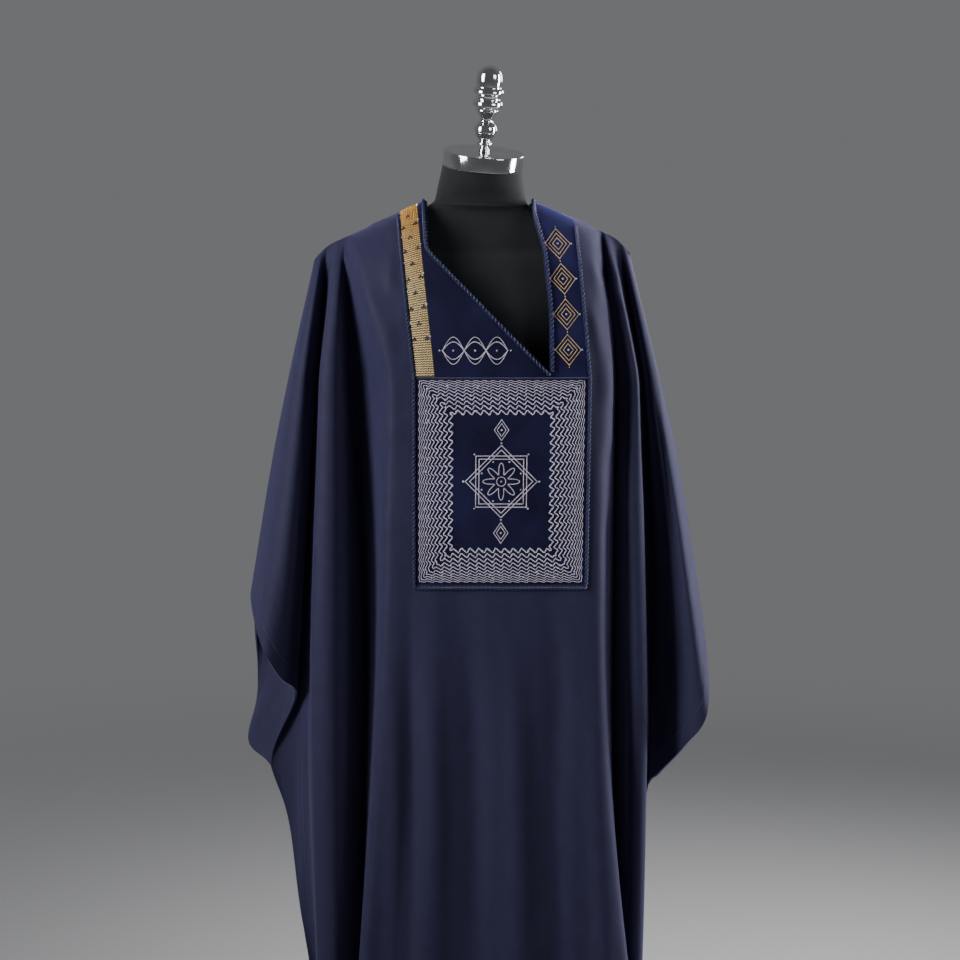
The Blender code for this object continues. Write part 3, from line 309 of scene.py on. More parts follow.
def rounded_across(points, steps):
    """Each row of points made a rounded curve. At both ends it crosses the plane y = 0 squarely."""
    ends = np.concatenate([points[:, 1:2] * ACROSS, points, points[:, -2:-1] * ACROSS], axis=1)
    gap = np.sqrt(np.maximum(np.linalg.norm(np.diff(ends, axis=1), axis=2), 1e-5))
    made = []
    for i in range(points.shape[1] - 1):
        p0, p1, p2, p3 = (ends[:, i + k, None] for k in range(4))
        d1, d2, d3 = (gap[:, i + k, None, None] for k in range(3))
        m1 = d2 * ((p1 - p0) / d1 - (p2 - p0) / (d1 + d2) + (p2 - p1) / d2)
        m2 = d2 * ((p2 - p1) / d2 - (p3 - p1) / (d2 + d3) + (p3 - p2) / d3)
        made.append(between(p1, m1, p2, m2, (np.arange(steps[i]) / steps[i])[None, :, None]))
    made.append(points[:, -1:])
    return np.concatenate(made, axis=1)


def line_points(line, rows):
    """One line's points at each row: 0 on the shoulder fold, 1 at the chest, 2 at the cloth's edge."""
    _, round_over, x_top, x_chest, y_chest, x_mid, y_mid, z_mid, x_end, y_end, z_end = line
    outward, past = max(abs(x_top) - NECK_POINT[0], 0), max(abs(x_top) - TIP_X[x_top > 0], 0)
    z_top = NECK_POINT[1] - SHOULDER_FALL * outward - TIP_FALL * past**2
    angle = np.clip(rows, 0, 1) * math.pi / 2
    fall = 1 - np.cos(angle)
    over_x, over_z = x_top + (x_chest - x_top) * fall, z_top - (z_top - CHEST_Z) * fall
    over = [over_x, y_chest * np.sin(angle) ** round_over, over_z]
    z = CHEST_Z + (z_end - CHEST_Z) * np.clip(rows - 1, 0, 1)
    levels = (CHEST_Z, z_mid, z_end)
    down = [through(levels, (x_chest, x_mid, x_end), z), through(levels, (y_chest, y_mid, y_end), z), z]
    return np.where(rows[:, None] <= 1, np.stack(over, 1), np.stack(down, 1))


def form_at(z):
    """The form's half width, half depth, middle (x and y) and forward tilt at these heights."""
    return [through(FORM_SECTIONS[:, 0], column, z) for column in FORM_SECTIONS.T[1:]]


def form_reach(points):
    """0 on the form's surface, below 0 inside and above 0 outside, in shares of its size there."""
    half_width, half_depth, middle_x, middle_y, _ = form_at(points[..., 2])
    share = np.abs((points[..., 0] - middle_x) / half_width) ** FORM_ROUNDNESS
    share += np.abs((points[..., 1] - middle_y) / half_depth) ** FORM_ROUNDNESS
    return share ** (1 / FORM_ROUNDNESS) - 1


def clear_of_form(points):
    """The points moved straight off the form until they are CLEARANCE away from it."""
    beside = (points[..., 2] > FORM_SECTIONS[0, 0] + 0.01) & (points[..., 2] < FORM_NECK_Z)
    beside &= (points[..., 2] < FORM_SHOULDER_Z) | (np.abs(points[..., 0]) > 1.5 * NECK_POINT[0])
    nudge = 1e-4
    for _ in range(4):
        reach = form_reach(points)
        slope = np.stack([(form_reach(points + nudge * axis) - reach) / nudge for axis in np.eye(3)], axis=-1)
        steep = np.maximum(np.linalg.norm(slope, axis=-1), 1e-6)
        short = np.clip(CLEARANCE - reach / steep, 0, 0.01) * beside * (reach < 0.5)
        points = points + slope / steep[..., None] * short[..., None]
    return points


def smoothed(grid, spread, axis=0, square=(False, False)):
    """The grid smoothed along one axis. Its ends stay, or cross y = 0 squarely where square says so."""
    reach = int(3 * spread) + 1
    weight = np.exp(-0.5 * (np.arange(-reach, reach + 1) / spread) ** 2)
    weight /= weight.sum()
    grid = np.moveaxis(grid, axis, 0)
    before, after = grid[reach:0:-1], grid[-2 : -reach - 2 : -1]
    before = before * ACROSS if square[0] else 2 * grid[:1] - before
    after = after * ACROSS if square[1] else 2 * grid[-1:] - after
    wide = np.concatenate([before, grid, after])
    made = sum(w * wide[k : k + len(grid)] for k, w in enumerate(weight))
    return np.moveaxis(made, 0, axis)


def outward_of(grid, side):
    """The cloth's outward normal at each grid point, running on into its mirror image at y = 0."""
    around = np.pad(grid, ((1, 1), (1, 1), (0, 0)), mode="edge")
    around[0, 1:-1] = grid[1] * ACROSS
    around[-1, 1:-1] = 2 * grid[-1] - grid[-2]
    around[1:-1, 0] = grid[:, 1] * ACROSS
    around[1:-1, -1] = grid[:, -2] * ACROSS
    cell = unit(np.cross(around[1:, 1:] - around[:-1, :-1], around[1:, :-1] - around[:-1, 1:]) * side)
    return unit(cell[:-1, :-1] + cell[:-1, 1:] + cell[1:, :-1] + cell[1:, 1:])


def fold_field(points, folds):
    """How far the drag folds push the cloth out: soft ridges, and grooves where the height is below 0."""
    push = np.zeros(points.shape[:2])
    flat = points[..., [0, 2]]
    for height, width, fade, route in folds:
        route = np.array(route, float)
        lengths = np.r_[0, np.cumsum(np.linalg.norm(np.diff(route, axis=0), axis=1))]
        best, place = np.full(push.shape, np.inf), np.zeros(push.shape)
        for k in range(len(route) - 1):
            step = route[k + 1] - route[k]
            t = np.clip(((flat - route[k]) @ step) / (step @ step), 0, 1)
            off = np.linalg.norm(flat - route[k] - t[..., None] * step, axis=-1)
            nearer = off < best
            best = np.where(nearer, off, best)
            place = np.where(nearer, lengths[k] + t * (lengths[k + 1] - lengths[k]), place)
        ends = np.clip(np.minimum(place, lengths[-1] - place) / fade + 0.02, 0, 1)
        push += height * np.exp(-((best / width) ** 2)) * ends * ends * (3 - 2 * ends)
    return push


def hanging_waves(across_m, down_m, seed, height):
    """Faint upright waves that grow down the cloth, as suiting has when it hangs free."""
    chance = np.random.default_rng(seed)
    wave = np.zeros(across_m.shape)
    for _ in range(7):
        length, turn, sway = chance.uniform(0.035, 0.11), chance.uniform(0, 6.28), chance.uniform(0.02, 0.07)
        bend = sway * np.sin(down_m / chance.uniform(0.25, 0.5) + chance.uniform(0, 6.28))
        wave += np.cos((across_m + bend) * 2 * math.pi / length + turn) * length
    return height * wave / 0.2 * np.clip(down_m / 0.9, 0.12, 1)


class Hang:
    """One side of the robe as a fine grid of points down and across, with its normals and cloth distances."""

    def __init__(self, table, side, folds, seed):
        self.side = side

        def lines_at(rows):
            return np.stack([line_points(line, rows) for line in table], axis=1)

        coarse = np.r_[np.linspace(0, 1, 10), np.linspace(1, 2, 20)[1:]]
        widest = np.linalg.norm(np.diff(lines_at(coarse), axis=1), axis=2).max(axis=0)
        cells = [CELL if BODY_X[0] < line[2] < BODY_X[1] else SLEEVE_CELL for line in table]
        steps = [max(3, math.ceil(w * 1.04 / cell)) for w, cell in zip(widest, cells)]
        self.column = dict(zip([line[0] for line in table], np.r_[0, np.cumsum(steps)].tolist()))
        self.chest, self.panel = ROWS_OVER, ROWS_OVER + ROWS_PANEL
        panel = 1 + (CHEST_Z - PANEL_Z) / (CHEST_Z - HEM_Z)
        over, beside = np.linspace(0, 1, ROWS_OVER + 1), np.linspace(1, panel, ROWS_PANEL + 1)[1:]
        rows = np.r_[over, beside, np.linspace(panel, 2, ROWS_BELOW + 1)[1:]]
        grid = smoothed(rounded_across(lines_at(rows), steps), SMOOTH_DOWN, 0, (True, False))
        grid[-1] = rounded_across(lines_at(rows[-1:]), steps)[0]
        grid = smoothed(grid, SMOOTH_ACROSS, 1, (True, True))
        out = outward_of(grid, side)
        self.measure(grid)
        facing = np.clip(out[..., 1] * side, 0, 1)
        inside_edge = np.clip(self.to_edge / FADE, 0, 1)
        off_plane = np.clip(np.abs(grid[..., 1]) / FADE, 0, 1)
        on_sleeve = np.clip((np.abs(grid[..., 0]) - SLEEVE_X) / SLEEVE_FADE, 0, 1)
        free = (1 - BIB_STILLS * self.near_bib(grid)) * (1 - SLEEVE_STILLS * on_sleeve)
        push = fold_field(grid, folds) * facing**0.5
        push += hanging_waves(self.across, self.down, seed, WAVE_HEIGHT) * facing * free
        push *= off_plane * (EDGE_KEEPS + (1 - EDGE_KEEPS) * inside_edge)
        grid = clear_of_form(grid + out * push[..., None])
        grid[..., 1] = side * np.maximum(side * grid[..., 1], 0)
        self.grid, self.out = grid, outward_of(grid, side)
        self.measure(grid)

    def near_bib(self, grid):
        """1 where the bib holds the cloth flat, 0 away from it and on the back."""
        if self.side > 0:
            return np.zeros(grid.shape[:2])
        x, z = grid[..., 0], grid[..., 2]
        inside = np.clip((BIB_REACH - np.abs(x - BIB_X)) / FADE, 0, 1)
        return inside * np.clip((z - PANEL_Z + FADE) / FADE, 0, 1)

    def measure(self, grid):
        """Distances along the cloth: across from the middle column, down from the fold and on to the edge."""
        step_across = np.linalg.norm(np.diff(grid, axis=1), axis=2)
        step_down = np.linalg.norm(np.diff(grid, axis=0), axis=2)
        self.across = np.pad(np.cumsum(step_across, axis=1), ((0, 0), (1, 0)))
        self.across = self.across - self.across[:, grid.shape[1] // 2, None]
        self.down = np.pad(np.cumsum(step_down, axis=0), ((1, 0), (0, 0)))
        self.to_edge = self.down[-1] - self.down

    def at(self, i, j):
        """Point and normal at fractional rows i and columns j."""
        i, j = np.broadcast_arrays(np.asarray(i, float), np.asarray(j, float))
        i0 = np.clip(i.astype(int), 0, self.grid.shape[0] - 2)
        j0 = np.clip(j.astype(int), 0, self.grid.shape[1] - 2)
        a, b = (i - i0)[..., None], (j - j0)[..., None]

        def mix(field):
            top = field[i0, j0] * (1 - b) + field[i0, j0 + 1] * b
            low = field[i0 + 1, j0] * (1 - b) + field[i0 + 1, j0 + 1] * b
            return top * (1 - a) + low * a

        return mix(self.grid), unit(mix(self.out))


def cloth_piece(name, points, normals, uv, low, high, finish, outline=None):
    """A cloth wall on a grid of points: its inner and outer faces lie low and high along the normals.

    What lies inside outline, an opening's (x, z) points, is cut out. Both faces keep the cloth's own normals.
    """
    rows, columns = points.shape[:2]
    low, high = np.broadcast_to(low, (rows, columns)), np.broadcast_to(high, (rows, columns))
    table = np.concatenate([points, normals, uv, low[..., None], high[..., None]], axis=2).reshape(-1, 10)
    index = np.arange(rows * columns).reshape(rows, columns)
    quads = np.stack([index[:-1, :-1], index[1:, :-1], index[1:, 1:], index[:-1, 1:]], axis=-1).reshape(-1, 4)
    first = quads[len(quads) // 2]
    turn = np.cross(table[first[1], :3] - table[first[0], :3], table[first[3], :3] - table[first[0], :3])
    if turn @ table[first[0], 3:6] < 0:
        quads = quads[:, ::-1]
    faces = [tuple(q) for q in quads.tolist()]
    if outline is not None:
        table, faces = cut_outline(table, faces, outline)
    count = len(table)
    outer, inner = (table[:, :3] + table[:, 3:6] * table[:, k : k + 1] for k in (9, 8))
    edges = dict.fromkeys(edge for face in faces for edge in zip(face, face[1:] + face[:1]))
    walls = [(b, a, a + count, b + count) for a, b in edges if (b, a) not in edges]
    both = faces + [tuple(v + count for v in face[::-1]) for face in faces] + walls
    mesh = bpy.data.meshes.new(name)
    mesh.from_pydata(np.vstack([outer, inner]).tolist(), [], both)
    mesh.polygons.foreach_set("use_smooth", [True] * (2 * len(faces)) + [False] * len(walls))
    corner = np.empty(len(mesh.loops), dtype=np.int64)
    mesh.loops.foreach_get("vertex_index", corner)
    flat = mesh.uv_layers.new(name="cloth")
    flat.data.foreach_set("uv", table[corner % count, 6:8].astype(np.float32).ravel())
    sides = 2 * sum(len(face) for face in faces)
    split = np.zeros((len(corner), 3))
    sign = np.where(corner[:sides] < count, 1, -1)
    split[:sides] = table[corner[:sides] % count, 3:6] * sign[:, None]
    mesh.normals_split_custom_set(split.tolist())
    mesh.materials.append(finish)
    return new_object(name, mesh)


def cut_outline(table, faces, outline):
    """The mesh without what lies inside the outline's (x, z) points, cut cleanly along them."""
    near_edge = 0.012  # faces farther than this from a cut aren't split
    shape = bmesh.new()
    layers = [shape.verts.layers.float.new(f"value_{k}") for k in range(3, 10)]
    verts = [shape.verts.new(row[:3]) for row in table.tolist()]
    for vert, row in zip(verts, table.tolist()):
        for layer, value in zip(layers, row[3:]):
            vert[layer] = value
    for face in faces:
        shape.faces.new([verts[k] for k in face])
    outline = [Vector((x, 0, z)) for x, z in outline]
    pairs = list(zip(outline, outline[1:] + outline[:1]))
    for a, b in pairs:
        along = b - a
        normal = Vector((along.z, 0, -along.x)).normalized()
        forward, reach = along.normalized(), along.length + near_edge
        near = []
        for face in shape.faces:
            middle = face.calc_center_median()
            place = Vector((middle.x, 0, middle.z)) - a
            if abs(place.dot(normal)) < near_edge and -near_edge < place.dot(forward) < reach:
                near.append(face)
        parts = set(near)
        for face in near:
            parts.update(face.edges)
            parts.update(face.verts)
        bmesh.ops.bisect_plane(shape, geom=list(parts), dist=1e-5, plane_co=a, plane_no=normal)
    gone = []
    for face in shape.faces:
        x, _, z = face.calc_center_median()
        rising = [(a, b) for a, b in pairs if (a.z > z) != (b.z > z)]
        if sum(x < a.x + (z - a.z) / (b.z - a.z) * (b.x - a.x) for a, b in rising) % 2:
            gone.append(face)
    bmesh.ops.delete(shape, geom=gone, context="FACES")
    bmesh.ops.delete(shape, geom=[v for v in shape.verts if not v.link_faces], context="VERTS")
    shape.verts.index_update()
    made = np.array([[*v.co, *(v[layer] for layer in layers)] for v in shape.verts])
    made[:, 3:6] = unit(made[:, 3:6])
    left = [tuple(v.index for v in face.verts) for face in shape.faces]
    shape.free()
    return made, left


# Drag folds and flutes: (height, width, fade, route of (x, z) points seen from the front)
FRONT_FOLDS = (
    (0.0032, 0.014, 0.05, (
        (-0.197, 1.434), (-0.166, 1.390), (-0.137, 1.345), (-0.127, 1.274), (-0.126, 1.150),
    )),
    (0.0030, 0.008, 0.03, ((-0.127, 1.466), (-0.131, 1.430), (-0.128, 1.392))),
    (0.0060, 0.008, 0.05, ((0.206, 1.440), (0.191, 1.383), (0.187, 1.30), (0.186, 1.05))),
    (-0.0044, 0.009, 0.03, ((0.184, 1.452), (0.182, 1.405))),
    (0.0046, 0.008, 0.05, ((0.158, 1.455), (0.180, 1.383), (0.184, 1.30), (0.184, 1.15))),
    (0.0028, 0.008, 0.04, ((0.159, 1.386), (0.178, 1.302), (0.182, 1.22))),
    (0.0044, 0.012, 0.28, ((-0.124, 0.97), (-0.124, 0.64), (-0.130, 0.30), (-0.134, 0.12))),
    (-0.0054, 0.012, 0.28, ((-0.099, 0.98), (-0.099, 0.64), (-0.104, 0.30), (-0.108, 0.12))),
    (0.0052, 0.015, 0.28, ((-0.066, 0.98), (-0.063, 0.64), (-0.064, 0.30), (-0.066, 0.12))),
    (-0.0062, 0.019, 0.28, ((-0.014, 0.98), (-0.006, 0.64), (-0.002, 0.30), (0.000, 0.12))),
    (0.0060, 0.018, 0.28, ((0.050, 0.98), (0.056, 0.64), (0.064, 0.30), (0.070, 0.12))),
    (-0.0064, 0.017, 0.28, ((0.112, 0.98), (0.110, 0.64), (0.122, 0.30), (0.132, 0.12))),
    (0.0048, 0.014, 0.28, ((0.168, 0.98), (0.172, 0.64), (0.186, 0.30), (0.196, 0.12))),
    (0.0100, 0.012, 0.15, ((0.220, 1.22), (0.226, 1.00), (0.231, 0.80), (0.231, 0.50), (0.230, 0.10))),
    (-0.0100, 0.013, 0.15, ((0.254, 1.28), (0.272, 1.08), (0.286, 0.92), (0.300, 0.74))),
)
BACK_FOLDS = (
    (0.0028, 0.014, 0.10, ((-0.120, 1.44), (-0.100, 1.30), (-0.104, 1.05), (-0.120, 0.70))),
    (-0.0026, 0.013, 0.10, ((-0.085, 1.42), (-0.075, 1.25), (-0.080, 1.00), (-0.095, 0.60))),
    (0.0026, 0.015, 0.15, ((0.020, 1.44), (0.022, 1.20), (0.024, 0.90), (0.030, 0.50))),
    (0.0028, 0.014, 0.10, ((0.125, 1.44), (0.104, 1.28), (0.108, 1.00), (0.125, 0.62))),
    (-0.0024, 0.013, 0.12, ((0.085, 1.43), (0.075, 1.20), (0.080, 0.90), (0.095, 0.50))),
)
front = Hang(FRONT_LINES, -1, FRONT_FOLDS, 11)
back = Hang(BACK_LINES, 1, BACK_FOLDS, 23)

# Below the cuffs both sides end in one seam, so their edges are brought to the line midway between them, and
# where they lie flat on each other they are a cloth's thickness apart.
SEAM_ROWS = 12
ramp = np.linspace(0, 1, SEAM_ROWS)[:, None, None] ** 2
for one, other in (("right_cuff_end", "right_side_hem"), ("left_side_hem", "left_cuff_end")):
    spans = [(side, slice(side.column[one], side.column[other] + 1)) for side in (front, back)]
    seam = sum(side.grid[-1, span] for side, span in spans) / 2
    for side, span in spans:
        side.grid[-SEAM_ROWS:, span] += (seam - side.grid[-1, span]) * ramp
for side in (front, back):
    side.out = outward_of(side.grid, side.side)
    apart = (CLOTH / 2 + 0.0001) * np.abs(side.out[..., 1])
    side.grid[..., 1] = side.side * np.maximum(side.side * side.grid[..., 1], apart)

# ---- suiting -----------------------------------------------------------------------------------------------
# Midnight navy worsted with a soft matt lustre: a fine steep twill that only shows close to, a slightly
# uneven dye, and a bloom of short fibres that lightens where the cloth turns away.


def noise_on(tree, place, scale, detail=2.0, distortion=0.0):
    """Cloudy noise at these coordinates, or fixed to the piece where place is None."""
    if place is None:
        place = add_node(tree, "TexCoord").outputs["Object"]
    values = {"Scale": scale, "Detail": detail, "Distortion": distortion}
    return add_node(tree, "TexNoise", {"Vector": place}, values).outputs["Fac"]


def weave_group():
    """Twill ribs crossed by yarn, with slubs: their height and, as the tone, half of it.

    Rib is half the distance between two ribs along x.
    """
    inputs, outputs = {"Vector": "Vector", "Rib": 0.0008, "Slub": 0.5}, {"Height": "Float", "Tone": "Float"}
    group, given, put = node_group("woven_yarn", "ShaderNodeTree", inputs, outputs)
    per_metre = add_node(group, "Math", {1: given["Rib"]}, {0: 0.314}, operation="DIVIDE")
    ribs = add_node(
        group, "TexWave", {"Vector": given["Vector"], "Scale": per_metre},
        {"Distortion": 1.2, "Detail": 1.0, "Detail Scale": 0.6}, bands_direction="DIAGONAL",
    )
    yarn, slubs = noise_on(group, given["Vector"], 900), noise_on(group, given["Vector"], 60, 3)
    ribbed = add_node(group, "Math", {0: ribs.outputs["Fac"], 1: yarn}, operation="ADD")
    halved = add_node(group, "Math", {0: ribbed}, {1: 0.5}, operation="MULTIPLY")
    slubbed = {"Value": slubs, "To Max": given["Slub"]}
    uneven = add_node(group, "MapRange", slubbed, {"From Min": 0.3, "From Max": 0.7})
    both = add_node(group, "Math", {0: uneven, 1: halved}, operation="ADD")
    tone = add_node(group, "Math", {0: both}, {1: 0.5}, operation="MULTIPLY")
    group.links.new(both.outputs[0], put["Height"])
    group.links.new(tone.outputs[0], put["Tone"])
    return group


WOVEN = weave_group()


def two_tones(tree, factor, dark, light, shader, low=0.3, high=0.7):
    """The shader's colour, between two tones as factor goes from low to high."""
    spread = add_node(tree, "MapRange", {"Value": factor}, {"From Min": low, "From Max": high})
    mix = add_node(tree, "Mix", {0: spread}, {6: (*dark, 1), 7: (*light, 1)}, data_type="RGBA")
    tree.links.new(mix.outputs[2], shader.inputs["Base Color"])


def bumped(tree, height, shader, distance, strength):
    bump = add_node(tree, "Bump", {"Height": height}, {"Distance": distance, "Strength": strength})
    tree.links.new(bump.outputs[0], shader.inputs["Normal"])


def woven_finish(name, roughness, rib, stretch, dark, light, relief, strength, on_uv=False, **more):
    """Woven cloth, with its weave stretched and laid on the piece's flat UV map or fixed to the piece."""
    made, tree, shader = finish_of(name, roughness, **more)
    flat = add_node(tree, "UVMap", uv_map="cloth") if on_uv else add_node(tree, "TexCoord").outputs["Object"]
    steep = add_node(tree, "Mapping", {"Vector": flat}, {"Scale": stretch})
    weave = add_node(tree, "Group", node_tree=WOVEN)
    tree.links.new(steep.outputs[0], weave.inputs["Vector"])
    weave.inputs["Rib"].default_value = rib
    two_tones(tree, weave.outputs["Tone"], dark, light, shader)
    bumped(tree, weave.outputs["Height"], shader, relief, strength)
    return made


suiting = woven_finish(
    "navy_suiting", 0.66, 0.0009, (1.0, 0.55, 1.0), (0.0185, 0.0180, 0.0470), (0.0280, 0.0272, 0.0700),
    0.00025, 0.35, on_uv=True, Sheen_Weight=0.35, Sheen_Roughness=0.42, Sheen_Tint=(0.52, 0.50, 0.95, 1),
    Specular_IOR_Level=0.16,
)

# ---- robe: body and sleeves --------------------------------------------------------------------------------
# Each side of the robe is a body panel with a wide sleeve either side, sewn in the deep folds beside it. All
# edges but the neck's are turned in and stitched down, and below the cuffs front and back are sewn together.

TURNED, TURNED_EXTRA = 0.040, 0.0014  # how deep the edge is turned in, and what that adds on the inside
TURNED_STEP = 0.004  # the upper part of that depth, over which the extra thickness thins out
TURNED_FADE = 0.02  # how far from the side seam, in y, it thins out as well
CUT_WASTE = 1.15  # a cut that narrows towards the shoulder needs a rectangle larger than its area
NECK_FRONT = (
    (-0.0790, 1.580), (-0.0790, 1.530), (-0.0746, 1.461), (0.1005, 1.286),
    (0.0995, 1.370), (0.0905, 1.462), (0.0785, 1.505), (0.0748, 1.580),
)
NECK_BACK = (
    (-0.0790, 1.580), (-0.0790, 1.528), (-0.0560, 1.506), (-0.0200, 1.496),
    (0.0200, 1.496), (0.0520, 1.506), (0.0740, 1.528), (0.0740, 1.580),
)


def hung_piece(name, hang, first, last, node, upper, lower, outline=None):
    """The cloth between two lines, in one piece from the shoulder fold to its edge.

    Its mesh takes one row in upper as far down as the bib goes, and one in lower from there.
    """
    end = len(hang.grid) - 1
    rows = np.unique(np.r_[0 : hang.panel : upper, hang.panel : end : lower, end])
    patch = np.ix_(rows, np.arange(hang.column[first], hang.column[last] + 1))
    points, normals = hang.grid[patch], hang.out[patch]
    uv = np.stack([hang.across[patch], -hang.down[patch]], axis=-1)
    open_edge = np.clip(np.abs(points[-1, :, 1]) / TURNED_FADE, 0, 1)
    turned = np.clip((TURNED - hang.to_edge[patch]) / TURNED_STEP, 0, 1) * open_edge
    thin = -CLOTH / 2 - TURNED_EXTRA * turned
    piece = cloth_piece(name, points, normals, uv, thin, CLOTH / 2, suiting, outline)
    tall = np.linalg.norm(np.diff(points, axis=0), axis=2).sum(axis=0).max()
    one, other = points[1:, 1:] - points[:-1, :-1], points[1:, :-1] - points[:-1, 1:]
    area = float(np.linalg.norm(np.cross(one, other), axis=2).sum() / 2)
    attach(piece, "root")
    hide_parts(node)
    return piece, (round(CUT_WASTE * area / tall, 3), round(tall, 3)), area


robe = {}
for word, hang, outline in (("front", front, NECK_FRONT), ("back", back, NECK_BACK)):
    for part, first, last in (
        ("sleeve_right_", "right_top_fold", "right_seam"),
        ("body_", "right_seam", "left_seam"),
        ("sleeve_left_", "left_seam", "left_top_fold"),
    ):
        node = part + word
        upper, lower, cut = (1, 2, outline) if part == "body_" else (2, 3, None)
        robe[node] = hung_piece("robe_" + node, hang, first, last, node, upper, lower, cut)

# ---- bib: velvet pieces ------------------------------------------------------------------------------------
# The bib is four applied pieces: a square chest panel, a three-cornered neck panel and a shoulder strip, all
# of cotton velvet with a short upright pile, and a braid band. Edges are turned under and slip-stitched.

VELVET, BRAID = 0.0012, 0.0008  # thickness of the applied pieces
GAP = 0.0003  # between pieces that lie on or stand on each other
LAID_CELL = 0.0028  # width of an applied piece's cells
ROUND_EDGE = 0.0016  # how far in its edge rounds over
SUNK = 0.0004  # how far its underside lies inside the suiting


def velvet_finish(name, dark, light):
    """Short upright pile: dark looked straight into, blue where it turns away or was stroked."""
    made, tree, shader = finish_of(
        name, 0.75, Sheen_Weight=0.85, Sheen_Roughness=0.28, Sheen_Tint=(0.24, 0.24, 0.95, 1),
        Specular_IOR_Level=0.12,
    )
    two_tones(tree, noise_on(tree, None, 14, 4, 0.6), dark, light, shader)
    bumped(tree, noise_on(tree, None, 1400), shader, 0.0004, 0.5)
    return made


velvet = velvet_finish("navy_velvet", (0.0050, 0.0045, 0.0200), (0.0105, 0.0100, 0.0450))
strip_velvet = velvet_finish("royal_velvet", (0.0090, 0.0085, 0.0420), (0.0170, 0.0165, 0.0800))


def lengths_along(points):
    """The distance from the first point to each one."""
    return np.r_[0, np.cumsum(np.linalg.norm(np.diff(points, axis=0), axis=1))]


def edged(length):
    """Places from 0 to length, closer together at both ends where the piece's edge rounds over."""
    edge = [0, 0.0004, 0.0010, 0.0018]
    count = max(2, round((length - 0.005) / LAID_CELL))
    return np.r_[edge, np.linspace(0.003, length - 0.003, count), [length - e for e in edge[::-1]]] / length


def laid_piece(name, rows, lines, finish, node, thick=VELVET, outline=None):
    """A piece that lies on the front of the robe between these rows and lines, with rounded edges."""
    (top, bottom), (first, last) = rows, [front.column[line] for line in lines]
    middle_down = front.at(np.linspace(top, bottom, 60), (first + last) / 2)[0]
    middle_across = front.at((top + bottom) / 2, np.linspace(first, last, 60))[0]
    tall, wide = float(lengths_along(middle_down)[-1]), float(lengths_along(middle_across)[-1])
    down, across = edged(tall)[:, None], edged(wide)[None, :]
    points, normals = front.at(top + down * (bottom - top), first + across * (last - first))
    inset = np.minimum(np.minimum(down, 1 - down) * tall, np.minimum(across, 1 - across) * wide)
    rounded = np.sqrt(np.clip(1 - (1 - np.clip(inset / ROUND_EDGE, 0, 1)) ** 2, 0.04, 1))
    uv = np.stack(np.broadcast_arrays(across * wide, -down * tall), axis=-1)
    low, high = CLOTH / 2 - SUNK, CLOTH / 2 + GAP + thick * rounded
    piece = cloth_piece(name, points, normals, uv, low, high, finish, outline)
    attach(piece, "root")
    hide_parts(node)
    return piece


chest_panel = laid_piece(
    "chest_panel_velvet", (front.chest, front.panel), ("band_right", "bib_left_in"), velvet, "chest_panel"
)
neck_panel = laid_piece(
    "neck_panel_velvet", (0, front.chest), ("band_left", "opening_left"), velvet, "neck_panel",
    outline=NECK_FRONT,
)
neck_strip = laid_piece(
    "neck_strip_velvet", (5.4, front.chest), ("opening_left", "bib_left_in"), strip_velvet, "neck_strip",
    outline=NECK_FRONT,
)

# ---- gold band ---------------------------------------------------------------------------------------------
# A 27 mm woven braid of gilt thread runs from the shoulder to the chest panel. Short slanting floats of gilt
# lie in zigzag rows over a bronze ground, with small dark three-point marks down most of its length.

BAND_TOP = CLOTH / 2 + GAP + BRAID
BAND_WIDTH = 0.027
FLOATS_ACROSS, FLOAT_PITCH, FLOAT_LEAN = 12, 0.0034, 0.80
FLOAT_SIZE = (0.0036, 0.0016, 0.0013)  # length, width and height of one stitch, here and below
MARK_SIZE, FIRST_MARK, MARK_PITCH, MARK_ROWS = (0.0034, 0.0032, 0.0016), 0.048, 0.0225, 10
FLOAT_RISE, MARK_RISE = 0.0002, 0.0010  # how far above the ground their middles lie
MARK_POINTS = ((0, -0.0020), (-0.0021, 0.0013), (0.0021, 0.0013), (0, 0.0004))


def mottled(name, roughness, metallic, scale, dark, light, relief=None, low=0.3, high=0.7, **more):
    """A finish of two tones in small clouds, which raise it where relief gives a distance and a strength."""
    made, tree, shader = finish_of(name, roughness, metallic, **more)
    clouds = noise_on(tree, None, scale)
    two_tones(tree, clouds, dark, light, shader, low, high)
    if relief:
        bumped(tree, clouds, shader, *relief)
    return made


ground = mottled("bronze_ground", 0.55, 0.3, 700, (0.060, 0.034, 0.010), (0.19, 0.115, 0.035), (0.0003, 0.5))
band = laid_piece(
    "gold_band_ground", (0, front.chest), ("band_right", "band_left"), ground, "gold_band", thick=BRAID
)

# The gilt is deeper towards the shoulder and mottled with age.
gilt, tree, shader = finish_of("gilt_thread", 0.42, 0.30)
height = add_node(tree, "SeparateXYZ", {"Vector": add_node(tree, "TexCoord").outputs["Object"]})
upper = add_node(tree, "MapRange", {"Value": height.outputs["Z"]}, {"From Min": 1.40, "From Max": 1.52})
aged = add_node(tree, "Math", {0: noise_on(tree, None, 120)}, {1: 0.35}, operation="MULTIPLY")
shade = add_node(tree, "Math", {0: upper, 1: aged}, operation="ADD")
two_tones(tree, shade, (0.95, 0.80, 0.48), (0.80, 0.42, 0.09), shader, 0.05, 1.2)
jet = mottled("dark_thread", 0.45, 0.0, 500, (0.010, 0.008, 0.012), (0.045, 0.035, 0.040))


def geometry_group(name, inputs):
    shape = {"Geometry": "Geometry"}
    return node_group(name, "GeometryNodeTree", {**shape, **inputs}, shape)


def point_value(tree, name, kind="FLOAT_VECTOR"):
    """What each point of the mesh carries under this name."""
    named = add_node(tree, "GeometryNodeInputNamedAttribute", (), {"Name": name}, data_type=kind)
    return named.outputs["Attribute"]


